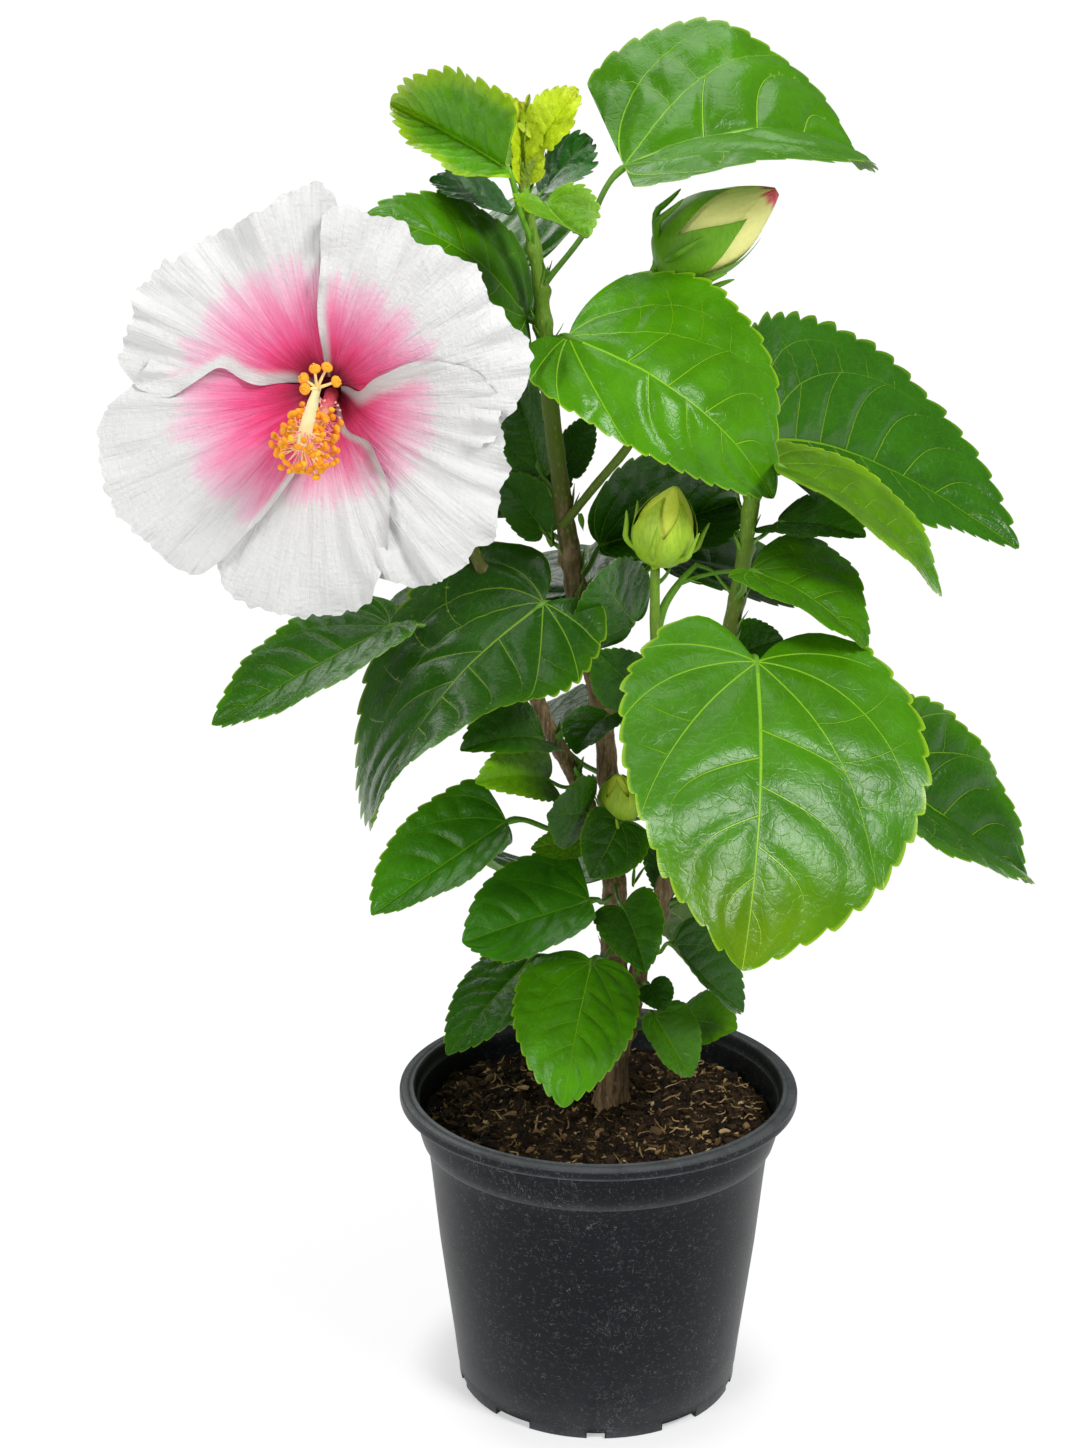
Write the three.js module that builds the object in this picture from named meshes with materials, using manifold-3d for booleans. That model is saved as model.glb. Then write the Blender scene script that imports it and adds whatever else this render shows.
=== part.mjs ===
// Potted hibiscus shrub: one upright main stem with four side boughs, large
// toothed leaves on long stalks, one open white bloom and three buds, in a
// round nursery pot filled with moist potting mix.
// Millimetres, +Z up. The origin is the centre of the pot's flat underside.
// The bloom faces -Y and a little to -X.
import * as THREE from 'three';
import { mergeVertices } from 'three/addons/utils/BufferGeometryUtils.js';
import Module from 'manifold-3d';

const wasm = await Module();
wasm.setup();

// ---------------------------------------------------------------- sizes (mm)
const RIM_RADIUS = 85; // outer radius of the rolled rim
const POT_HEIGHT = 135;
const FOOT_RADIUS = 60.4;
const WALL = 1.8;
const RIM_DEPTH = 4.6; // height of the outer lip
const RIM_LAND = 6.4; // width of the flat ring on top of the rim
const SHOULDER = { radius: 77.8, top: 130.4, round: 119, ledge: 75.8, bottom: 113.2, wall: 73.4, foot: 111.8 };
const FOOT = { count: 5, ringHeight: 7.5, gapAngle: 17, gapHeight: 3, notch: 7.5 };
const FLOOR = { height: 4.2, thickness: 2.2, bossRadius: 14, drainRadius: 6, drainAt: 36 };
const SIDES = 24; // facets round the pot and the soil
const SOIL_LEVEL = 121; // flat round the stem, gently uneven further out
const GAP = 0.3; // air between two nodes that would otherwise touch

const LEAF_THICKNESS = 1.3;
const STALK_RADIUS = 1.5;

// Stems as [x, y, z, radius] from foot to tip. The main stem leans to -X as it
// rises, and its radius falls from the flared foot to the soft green tip.
const STEMS = {
  main_stem: [
    [6.1, 6.5, 121, 8.6], [6.4, 6.1, 127, 6.9], [7.5, 4, 161.7, 5.4], [7.2, 2, 189.9, 4.9],
    [6.1, 0, 226.4, 4.4], [2.7, 0, 278.6, 4.2], [-1.2, 0, 308.4, 4.1], [-6.6, 0, 329.4, 4],
    [-12.3, -2, 362.8, 3.8], [-16.8, -2, 395.2, 3.6], [-20.9, 0, 426.7, 3.3],
    [-22.8, 0, 450.3, 3.1], [-24.8, 0, 471.5, 2.8], [-28, 2, 490.5, 2.4], [-30.3, 2, 503.8, 2],
  ],
  bough_right: [
    [9.7, 3, 150.7, 4.2], [14.6, 2, 171.8, 4.1], [17.7, 0, 190.8, 4], [23.7, -4, 212.5, 3.9],
    [31.5, -8, 242.5, 3.7], [40.4, -12, 286.7, 3.5], [50.6, -14, 333.1, 3.3],
    [55.4, -16, 362, 3.1], [58, -16, 385.6, 2.8], [60.2, -18, 402.2, 2.2],
  ],
  bough_left: [
    [0.1, -5, 246.5, 3.4], [-4.9, -8, 261.7, 3.3], [-10.7, -10, 275.1, 3.2],
    [-18.1, -11, 289.4, 3.1], [-24.5, -12, 304.3, 3], [-36, -10, 334, 2.9],
    [-53, -5, 370, 2.7], [-73, 0, 402, 2.4], [-89, 2, 423, 2.1], [-101, -4, 433.4, 2],
    [-104.8, -12, 435, 2.1],
  ],
  bough_centre: [
    [34.2, -12, 265.4, 2.6], [27.1, -17, 296.4, 2.4], [22.3, -20, 326.2, 2.3],
    [21.2, -22, 343, 2.1], [20.9, -24, 364, 1.9],
  ],
  bough_upper: [
    [-13.9, -6, 379.9, 2], [-0.9, -12, 397, 1.8], [10.7, -14, 411.9, 1.7],
    [17.8, 0, 434.7, 1.6], [17.6, 9, 461.1, 1.6], [19.7, 11.5, 476.3, 1.7],
  ],
};
const STEM_SIDES = { main_stem: 8, bough_right: 7, bough_left: 6, bough_centre: 6, bough_upper: 6 };

// The bloom: where its throat opens, which way it faces, and its five petals.
const BLOOM = {
  centre: [-106, -62, 434], azimuth: -92, elevation: -1,
  throatDepth: 34, throatRadius: 9, thickness: 2.2, ruffle: 3.5,
  // [angle seen from the front, anticlockwise from +X, reach]
  petals: [[110, 84], [35, 84], [-25, 82], [-92, 86], [-165, 86]],
  column: { length: 50, radius: 2, brush: 8.5, droop: -24 },
  calyx: { length: 24, radius: 8.5 },
};

// Closed buds: foot, tip, greatest radius and where along the bud it lies.
const BUDS = {
  bud_upper: { foot: [20.4, 11.7, 477.7], tip: [67, 7.7, 507], radius: 15.9, widest: 0.42 },
  bud_centre: { foot: [20.9, -24, 365], tip: [28.5, -28, 397.1], radius: 12, widest: 0.45 },
  bud_low: { foot: [9.2, -14, 256.2], tip: [6.7, -22, 278.9], radius: 8.2, widest: 0.5 },
};

// Outline of a leaf blade, from the notch at the stalk round one side to the
// tip: [along the midrib, half width], both as shares of length and half width.
const LEAF_OUTLINE = [
  [0, 0], [-0.07, 0.17], [-0.1, 0.42], [-0.05, 0.72], [0.08, 0.94], [0.28, 1],
  [0.5, 0.93], [0.68, 0.74], [0.82, 0.5], [0.92, 0.24], [1, 0],
];

// Each leaf: name, the stem it grows on, the height of its node,
// stalk [azimuth, elevation, length], blade [azimuth, elevation, length, width],
// pose [roll, fold, arch, sweep, twist, lobe, asymmetry, lobe skew].
// Angles are degrees; arch, sweep, lobe and asymmetry are shares of the size.
const LEAVES = [
  ['leaf_crown_right', 'main_stem', 470, [-8.8, 55.3, 57.1], [26.4, -1.3, 107.9, 109.3], [-28.6, 17.3, 0.185, -0.041, -11.8, 0, 0.13, 0]],
  ['leaf_crown_left', 'main_stem', 486, [-130.5, 63.4, 33.9], [129, 16.4, 82.4, 42.6], [63.4, 40, -0.015, -0.01, 17.9, 0.61, -0.27, 0.89]],
  ['leaf_behind_bloom', 'main_stem', 456, [144.9, 17.1, 9.1], [-158.1, 32.4, 76.4, 65], [41.1, 3.7, 0.123, -0.021, 2.6, 1, 0.02, 0]],
  ['leaf_upper_front', 'main_stem', 450, [-77.1, 8.3, 43.5], [2.7, -38, 100.1, 85.5], [-56.2, -11, 0.172, 0.008, -8.5, 0.84, 0.35, -0.55]],
  ['leaf_right_high', 'bough_right', 398, [67.6, 43.4, 20.1], [33.7, -22.8, 149.6, 86.1], [-56, 16, -0.07, 0.147, 7, 0.71, 0.19, 0.43]],
  ['leaf_right_folded', 'bough_right', 390, [-67.1, 42.1, 25.6], [15.4, -37.8, 90.3, 57.9], [-25.1, 11.5, 0.112, -0.03, -19.6, 0.16, -0.08, 0.05]],
  ['leaf_right_small', 'bough_right', 372, [30.5, 26.4, 17.6], [-47.1, 0.7, 45.2, 31.1], [-25.1, 16.6, 0.074, -0.013, -5.9, 1, 0, 0]],
  ['leaf_right_middle', 'bough_right', 350, [-80.9, 34.1, 30.4], [-18, -30.9, 54.3, 57.1], [-10.7, 11.7, 0.111, -0.021, 5.9, 0.63, 0.23, -0.33]],
  ['leaf_front_large', 'bough_right', 330, [-81.3, 8.1, 57.4], [-95.6, -50.8, 121.2, 115.5], [18.7, -0.4, 0.074, 0.008, 9.6, 1.61, 0.11, -0.06]],
  ['leaf_right_low', 'bough_right', 262, [-1.7, 11.8, 78.1], [23.6, -36.9, 95.5, 88.2], [-39, 30.1, 0.015, 0.021, 16.8, 0.76, -0.09, -0.48]],
  ['leaf_left_large', 'main_stem', 343, [-117.2, 14.5, 31.6], [-121.4, -27, 127.8, 92.3], [-16.2, -10.2, 0.034, -0.078, -81.9, 1.5, -0.24, 0]],
  ['leaf_left_high', 'bough_left', 342, [-161.4, -2.3, 46.6], [-167.7, -27.2, 80.1, 55.3], [20.4, 15.9, 0.04, 0.038, 11.7, 1, 0, 0]],
  ['leaf_left_middle', 'main_stem', 250, [-144.7, 12.7, 53.1], [-160.5, -30.8, 65.7, 56.2], [20, 25, -0.028, -0.039, 3.7, 0.09, 0.05, 0]],
  ['leaf_left_low', 'main_stem', 220, [-107.3, 14.9, 35.1], [-177.6, -18.9, 54.9, 54.3], [33.2, 19.2, 0.025, 0.005, 33.1, 0.1, -0.02, 0]],
  ['leaf_rim_left', 'main_stem', 192, [-142.2, 11.6, 44.8], [-133.4, -30.4, 55.7, 38.2], [5.2, 7.8, 0.041, 0.011, -6.8, 1, 0.06, 0]],
  ['leaf_rim_front', 'main_stem', 198, [-101.8, 11.1, 48.5], [-104.3, -45.2, 62.2, 49.6], [15.4, -12.4, 0.106, -0.013, 2, 0.89, -0.09, 0]],
  ['leaf_heart_low', 'main_stem', 226, [-85.4, 5.1, 42.3], [-72.6, -29.5, 34.2, 28.5], [-22.6, 21.8, 0.072, 0.03, 2.3, 1.01, 0.02, 0]],
  ['leaf_heart_middle', 'main_stem', 256, [-81.1, 8.9, 25.6], [-132.8, -49.2, 26, 28.9], [51.5, 15.3, 0.062, 0.005, -0.9, 0.98, 0.03, 0]],
  ['leaf_rim_right', 'bough_right', 196, [-71.8, 22.8, 38.9], [24.2, -46.1, 47.2, 36.5], [-45, 34.8, 0.003, -0.023, -8, 0.8, 0, 0]],
  ['leaf_rim_round', 'bough_right', 180, [-80.8, 20.2, 33.6], [-55, -39.2, 12.7, 15], [-23.8, 12.4, 0.06, 0.034, 0.8, 0.98, 0.03, 0]],
  ['leaf_rim_small', 'bough_right', 166, [-71.8, 20, 33.9], [-15.6, -57.8, 30.2, 27.1], [-33.6, 23.7, 0.038, -0.027, -2.7, 0.75, 0.07, 0]],
  ['leaf_rim_rear', 'bough_right', 158, [5.7, 8.7, 23.8], [-46.5, 10.8, 33.8, 30.9], [-36.4, 4.7, 0.054, 0.006, -2.5, 0.98, 0.01, 0]],
  ['leaf_centre_shade', 'main_stem', 352, [32.1, 52.6, 19.7], [43.2, 6.2, 81.4, 66.8], [-61.7, 51.7, 0.01, -0.003, -12.8, 0.97, 0.11, 0]],
  ['leaf_centre_middle', 'main_stem', 328, [-14.4, 26.9, 22.5], [-113.3, 37.9, 44.3, 39.7], [118.8, -14.2, -0.023, 0.016, 0.2, 1, 0.05, 0]],
  ['leaf_centre_low', 'main_stem', 298, [0, 33.7, 19], [-150.1, 42.7, 28.3, 26.1], [107.6, 4.7, 0.033, 0.02, -1.7, 1, 0.06, 0]],
  ['leaf_stem_left', 'main_stem', 364, [169.8, 43.1, 15.5], [138.6, 34.2, 30.8, 23.8], [44, 28, 0.091, -0.027, 3.1, 1, -0.04, 0]],
  ['leaf_stem_high', 'main_stem', 386, [128.6, 36.2, 19], [108.5, 36.4, 49.4, 28.6], [58.7, 19.9, 0.06, -0.07, -5.9, 1, -0.07, 0]],
  ['leaf_left_small_a', 'bough_left', 286, [-114.2, 27.5, 21.3], [-131.8, 5.7, 45.1, 30.2], [38.4, 27.3, 0.097, -0, 3, 1, -0.02, 0]],
  ['leaf_left_small_b', 'bough_left', 270, [-118.4, 20.4, 27.6], [-128.4, 11.7, 44.7, 26.9], [54.2, 19.2, 0.08, -0.027, -1.1, 0.99, -0.03, 0]],
  ['leaf_centre_small', 'main_stem', 294, [-84.2, 24.1, 24.2], [-118.3, -20, 28, 25], [-1.9, 15.3, 0.063, -0.025, 0.4, 1.03, -0.01, 0]],
  ['leaf_left_small_c', 'bough_left', 254, [-99.1, 30.2, 18.2], [-115.8, 14.1, 37.4, 30.6], [100.9, -1, 0.045, -0.01, -4.4, 0.97, -0.01, 0]],
  ['shoot_front', 'main_stem', 500, [-75.3, 7.1, 31.2], [-60.5, -17.5, 34.1, 30.5], [-8, 27.2, -0.02, -0.034, 14.6, 1.82, 0.03, -0.31]],
  ['shoot_left', 'main_stem', 506, [128.1, -36.7, 12.7], [176.2, 22.2, 33.9, 35.6], [15.3, 6.3, 0.073, 0.004, 27.4, 0, -0.04, 0]],
  ['shoot_right', 'main_stem', 506, [70.5, -1.2, 19.1], [8.8, 50.5, 28.6, 37.8], [-21.5, 6, 0.02, 0.004, -44.1, 0.08, -0.14, -0.06]],
  ['leaf_rear_01', 'main_stem', 458, [108.3, 17.1, 55], [101.3, 4.8, 99.2, 81.5], [21.8, 15.3, 0.088, 0, 0, 1, 0, 0]],
  ['leaf_rear_02', 'main_stem', 445, [149.1, 10.4, 47.7], [161.7, -10.3, 54.5, 42.9], [-8.1, 20.8, 0.104, 0, 0, 1, 0, 0]],
  ['leaf_rear_03', 'main_stem', 436, [82.5, 10.5, 37.9], [86.7, -23.2, 85.1, 79.8], [3.9, 8.2, 0.047, 0, 0, 1, 0, 0]],
  ['leaf_rear_04', 'bough_left', 407, [100.2, 18.8, 58.2], [105.8, -25.1, 96.4, 87.6], [-8.2, 8, 0.109, 0, 0, 1, 0, 0]],
  ['leaf_rear_05', 'bough_right', 385, [100, 39.7, 49], [85, -38, 64.4, 54.7], [-16.9, 13.8, 0.06, 0, 0, 1, 0, 0]],
  ['leaf_rear_06', 'main_stem', 369, [126, 18.9, 34.3], [116.2, -2.7, 69.9, 55.3], [13.8, 11.4, 0.113, 0, 0, 1, 0, 0]],
  ['leaf_rear_07', 'main_stem', 328, [88.1, 15.1, 50.9], [87.7, -2.6, 100.1, 93.4], [20.3, 6.5, 0.099, 0, 0, 1, 0, 0]],
  ['leaf_rear_08', 'main_stem', 336, [32.9, 30.5, 47.6], [31.3, -19.9, 100, 83.1], [-17.4, 8.2, 0.046, 0, 0, 1, 0, 0]],
  ['leaf_rear_09', 'main_stem', 323, [169.6, 21.3, 52.5], [147.1, -22.8, 68.2, 55.4], [15.1, 12.9, 0.115, 0, 0, 1, 0, 0]],
  ['leaf_rear_10', 'main_stem', 271, [127.4, 13, 40.3], [106.3, -13.8, 79.7, 62.8], [12.2, 18.8, 0.075, 0, 0, 1, 0, 0]],
  ['leaf_rear_11', 'bough_right', 265, [94.7, 28.4, 43.3], [83.3, -42.7, 65.1, 60.7], [-9.7, 9.7, 0.079, 0, 0, 1, 0, 0]],
  ['leaf_rear_12', 'bough_right', 215, [29.8, 25.2, 20.3], [21.6, -16.9, 64.3, 50.4], [-6.2, 13.7, 0.084, 0, 0, 1, 0, 0]],
  ['leaf_rear_13', 'main_stem', 201, [113.1, 7.4, 51.8], [109, -16.6, 102.7, 95.3], [-2.6, 21.5, 0.067, 0, 0, 1, 0, 0]],
  ['leaf_rear_14', 'main_stem', 195, [55.9, 8.5, 41.2], [53.2, -46.1, 60.6, 52], [24, 20.3, 0.092, 0, 0, 1, 0, 0]],
];

const COLOURS = {
  pot: [0x24272b, 0.62], soil: [0x2c1f16, 0.95], bark: [0x6e5238, 0.85], green: [0x5f8f2c, 0.55],
  leaf: [0x3f8f22, 0.42], young: [0x9cc52c, 0.45], shade: [0x1f5a22, 0.45],
  petal: [0xf6f2f2, 0.6], bud: [0xb9cf3e, 0.5],
};

// ------------------------------------------------------------------- helpers
const rad = (deg) => (deg * Math.PI) / 180;
const vec = (a) => new THREE.Vector3(a[0], a[1], a[2]);
const heading = (az, el) =>
  new THREE.Vector3(Math.cos(rad(az)) * Math.cos(rad(el)), Math.sin(rad(az)) * Math.cos(rad(el)), Math.sin(rad(el)));

function solid(geometry) {
  const g = geometry.clone();
  g.deleteAttribute('normal');
  g.deleteAttribute('uv');
  const m = mergeVertices(g, 1e-4);
  return new wasm.Manifold(
    new wasm.Mesh({ numProp: 3, vertProperties: m.attributes.position.array, triVerts: new Uint32Array(m.index.array) }),
  );
}

function geometryOf(manifold) {
  const m = manifold.getMesh();
  const g = new THREE.BufferGeometry();
  const p = new Float32Array(m.numVert * 3);
  for (let i = 0; i < m.numVert; i++) p.set(m.vertProperties.subarray(i * m.numProp, i * m.numProp + 3), i * 3);
  g.setAttribute('position', new THREE.BufferAttribute(p, 3));
  g.setIndex(new THREE.BufferAttribute(new Uint32Array(m.triVerts), 1));
  g.computeVertexNormals();
  return g;
}

function indexed(points, faces) {
  const g = new THREE.BufferGeometry();
  g.setAttribute('position', new THREE.BufferAttribute(new Float32Array(points.flatMap((p) => [p.x, p.y, p.z])), 3));
  g.setIndex(faces);
  return g;
}

// The largest body of a cut solid, so a sliver that a cut leaves is dropped.
function mainBody(manifold) {
  const bodies = manifold.decompose();
  return bodies.length < 2 ? manifold : bodies.sort((a, b) => b.volume() - a.volume())[0];
}

// A closed limb along [x, y, z, radius] rows: rings square to the path, flat ends.
function limb(rows, sides, grow = 0, flatFoot = false) {
  const path = rows.map(vec);
  const points = [];
  const faces = [];
  let side = new THREE.Vector3(1, 0, 0);
  path.forEach((p, i) => {
    const t = path[Math.min(i + 1, path.length - 1)].clone().sub(path[Math.max(i - 1, 0)]).normalize();
    if (flatFoot && i === 0) t.set(0, 0, 1);
    side = side.sub(t.clone().multiplyScalar(side.dot(t))).normalize();
    const other = t.clone().cross(side);
    for (let k = 0; k < sides; k++) {
      const a = (2 * Math.PI * k) / sides;
      const r = rows[i][3] + grow;
      points.push(p.clone().addScaledVector(side, r * Math.cos(a)).addScaledVector(other, r * Math.sin(a)));
    }
  });
  for (let i = 0; i < path.length - 1; i++)
    for (let k = 0; k < sides; k++) {
      const a = i * sides + k;
      const b = i * sides + ((k + 1) % sides);
      faces.push(a, b, b + sides, a, b + sides, a + sides);
    }
  for (let k = 1; k < sides - 1; k++) {
    faces.push(0, k + 1, k);
    const n = (path.length - 1) * sides;
    faces.push(n, n + k, n + k + 1);
  }
  return solid(indexed(points, faces));
}

// Point and radius on a stem at a given height.
function stemAt(name, z) {
  const rows = STEMS[name];
  let i = 0;
  while (i < rows.length - 2 && rows[i + 1][2] < z) i++;
  const k = (z - rows[i][2]) / (rows[i + 1][2] - rows[i][2]);
  return rows[i].map((v, j) => v + (rows[i + 1][j] - v) * k);
}

// Catmull-Rom point on the leaf outline, u from 0 at the notch to 1 at the tip.
function outlineAt(u) {
  const n = LEAF_OUTLINE.length;
  const at = (i) => {
    if (i < 0) return LEAF_OUTLINE[0].map((v, j) => 2 * v - LEAF_OUTLINE[1][j]);
    if (i >= n) return LEAF_OUTLINE[n - 1].map((v, j) => 2 * v - LEAF_OUTLINE[n - 2][j]);
    return LEAF_OUTLINE[i];
  };
  const s = u * (n - 1);
  const i = Math.min(Math.floor(s), n - 2);
  const t = s - i;
  return [0, 1].map((j) => {
    const [a, b, c, d] = [at(i - 1)[j], at(i)[j], at(i + 1)[j], at(i + 2)[j]];
    return 0.5 * (2 * b + (c - a) * t + (2 * a - 5 * b + 4 * c - d) * t * t + (3 * b - a - 3 * c + d) * t ** 3);
  });
}

// The blade surface: maps (along, across) to a point and the blade's normal.
function bladeSurface(base, leaf) {
  const [az, el, length, width] = leaf.blade;
  const [roll, fold, arch, sweep, twist, lobe, asym, skew] = leaf.pose;
  const d = heading(az, el);
  const up = new THREE.Vector3(0, 0, 1).addScaledVector(d, -d.z).normalize();
  const side = up.clone().cross(d);
  const turned = (deg) => up.clone().multiplyScalar(Math.cos(rad(deg))).addScaledVector(side, Math.sin(rad(deg)));
  const n0 = turned(roll);
  const s0 = n0.clone().cross(d);
  return (x, y) => {
    const q = Math.min(Math.max(x, 0), 1);
    const back = Math.min(x, 0) * lobe * (1 + skew * Math.sign(y)) * length;
    const across = (y * width * (1 + (y > 0 ? asym : -asym))) / 2;
    const slope = 4 * (1 - 2 * q);
    const t = d.clone().addScaledVector(n0, slope * arch).addScaledVector(s0, slope * sweep).normalize();
    let n = turned(roll + twist * (q - 0.5));
    n.addScaledVector(t, -n.dot(t)).normalize();
    const s = n.clone().cross(t);
    const lift = Math.abs(across) * Math.sin(rad(fold)) - (0.05 * across * across) / (width / 2);
    const point = base
      .clone()
      .addScaledVector(d, q * length)
      .addScaledVector(n0, 4 * q * (1 - q) * arch * length)
      .addScaledVector(s0, 4 * q * (1 - q) * sweep * length)
      .addScaledVector(t, back)
      .addScaledVector(s, across * Math.cos(rad(fold)))
      .addScaledVector(n, lift);
    return { point, normal: n };
  };
}

// A thin closed blade: rows fan from the notch, then step up the midrib.
function blade(base, leaf, grow = 0) {
  const big = leaf.blade[2] > 48;
  const rows = big ? 6 : 5; // steps from notch to tip
  const surface = bladeSurface(base, leaf);
  const half = (leaf.thickness ?? LEAF_THICKNESS) / 2 + grow;
  const spread = 1 + (2 * grow) / leaf.blade[3];
  const keys = new Map();
  const spots = [];
  const spot = (x, y) => {
    const key = x.toFixed(5) + ',' + y.toFixed(5);
    if (!keys.has(key)) {
      keys.set(key, spots.length);
      spots.push([x, y * spread]);
    }
    return keys.get(key);
  };
  const tris = [];
  const edge = [];
  for (const sign of [1, -1]) {
    const grid = [];
    for (let k = 1; k <= rows; k++) {
      const u = k / rows;
      const root = Math.max(0, (u - 0.34) / 0.66) ** 1.15;
      const [mx, my] = outlineAt(u);
      grid.push([0, 1].map((f) => spot(root + (mx - root) * f, k === rows || f === 0 ? 0 : my * f * sign)));
    }
    const add = (a, b, c) => {
      if (a !== b && b !== c && a !== c) tris.push(sign > 0 ? [a, b, c] : [a, c, b]);
    };
    for (let k = 0; k < rows - 1; k++) {
      add(grid[k][0], grid[k + 1][0], grid[k + 1][1]);
      add(grid[k][0], grid[k + 1][1], grid[k][1]);
    }
    const line = [grid[0][0], ...grid.map((g) => g[1])];
    edge.push(sign > 0 ? line : line.reverse());
  }
  const at = spots.map(([x, y]) => surface(x, y));
  const points = [...at.map((s) => s.point.clone().addScaledVector(s.normal, half)), ...at.map((s) => s.point.clone().addScaledVector(s.normal, -half))];
  const n = at.length;
  const faces = [];
  for (const [a, b, c] of tris) {
    faces.push(a, b, c);
    faces.push(c + n, b + n, a + n);
  }
  for (const line of edge)
    for (let i = 0; i < line.length - 1; i++) {
      const [a, b] = [line[i], line[i + 1]];
      if (a !== b) faces.push(a, b, b + n, a, b + n, a + n);
    }
  let made = solid(indexed(points, faces));
  if (made.volume() < 0) {
    for (let i = 0; i < faces.length; i += 3) [faces[i], faces[i + 1]] = [faces[i + 1], faces[i]];
    made = solid(indexed(points, faces));
  }
  return made;
}

// A leaf: its stalk leaves the stem, curves out and enters the blade's notch.
function leafSolid(row, grow = 0) {
  const [, on, at, stalk, bladeSize, pose] = row;
  const leaf = { blade: bladeSize, pose, thickness: bladeSize[2] > 48 ? LEAF_THICKNESS : 1 };
  const node = stemAt(on, at);
  const foot = vec(node);
  const base = foot.clone().addScaledVector(heading(stalk[0], stalk[1]), stalk[2]);
  const out = base.clone().sub(foot).normalize();
  const start = foot.clone().addScaledVector(out, node[3] * 0.6);
  const bend = foot.clone().lerp(base, 0.5).add(new THREE.Vector3(0, 0, -0.06 * stalk[2]));
  const end = bladeSurface(base, leaf)(Math.min(6 / bladeSize[2], 0.12), 0).point;
  const r = (bladeSize[2] > 48 ? 1 : 0.75) * STALK_RADIUS + grow;
  const rows = [start, bend, end].map((p, i) => [p.x, p.y, p.z, r * [1.15, 1, 0.6][i]]);
  return limb(rows, 4).add(blade(base, leaf, grow));
}

// ----------------------------------------------------------------- the solids
function potSolid() {
  const W = WALL;
  const inner = RIM_RADIUS - RIM_LAND;
  const outline = [
    [0, FLOOR.height], [FOOT_RADIUS - 3.4, FLOOR.height], [FOOT_RADIUS - 3.1, 0], [FOOT_RADIUS, 0],
    [FOOT_RADIUS + 0.6, FOOT.ringHeight], [65.8, 43], [SHOULDER.wall, SHOULDER.foot], [SHOULDER.ledge, SHOULDER.bottom],
    [SHOULDER.radius, SHOULDER.round], [SHOULDER.radius, SHOULDER.top], [RIM_RADIUS, SHOULDER.top],
    [RIM_RADIUS, POT_HEIGHT - 0.7], [RIM_RADIUS - 0.7, POT_HEIGHT], [inner, POT_HEIGHT],
    [SHOULDER.radius - W, SHOULDER.round + 0.6], [SHOULDER.ledge - W, SHOULDER.bottom + 1.2], [SHOULDER.wall - W, SHOULDER.foot], [65.8 - W, 43],
    [FOOT_RADIUS + 0.6 - W, FLOOR.height + FLOOR.thickness + 2], [FOOT_RADIUS - 2.4, FLOOR.height + FLOOR.thickness],
    [0, FLOOR.height + FLOOR.thickness],
  ];
  let pot = solid(new THREE.LatheGeometry(outline.map(([r, z]) => new THREE.Vector2(r, z)), SIDES).rotateX(Math.PI / 2));
  if (pot.volume() < 0) pot = solid(new THREE.LatheGeometry(outline.reverse().map(([r, z]) => new THREE.Vector2(r, z)), SIDES).rotateX(Math.PI / 2));
  // flat boss under the middle of the floor, level with the feet
  const boss = new THREE.CylinderGeometry(FLOOR.bossRadius, FLOOR.bossRadius + 1.5, FLOOR.height + 1, 16).rotateX(Math.PI / 2).translate(0, 0, (FLOOR.height + 1) / 2);
  pot = pot.add(solid(boss));
  // gaps between the feet, and a small notch in the middle of each foot
  for (let i = 0; i < FOOT.count; i++) {
    const turn = -90 + (360 / FOOT.count) * i;
    for (const [angle, width, height] of [[turn + 180 / FOOT.count, 2 * FOOT_RADIUS * Math.sin(rad(FOOT.gapAngle / 2)), FOOT.gapHeight], [turn, FOOT.notch, FOOT.gapHeight - 0.4]]) {
      const cut = new THREE.BoxGeometry(16, width, 2 * height).translate(FOOT_RADIUS - 1, 0, 0).rotateZ(rad(angle));
      pot = pot.subtract(solid(cut));
    }
  }
  for (let i = 0; i < 4; i++) {
    const hole = new THREE.CylinderGeometry(FLOOR.drainRadius, FLOOR.drainRadius, 12, 8).rotateX(Math.PI / 2);
    const a = rad(45 + 90 * i);
    pot = pot.subtract(solid(hole.translate(FLOOR.drainAt * Math.cos(a), FLOOR.drainAt * Math.sin(a), FLOOR.height + 1)));
  }
  return pot;
}

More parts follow.
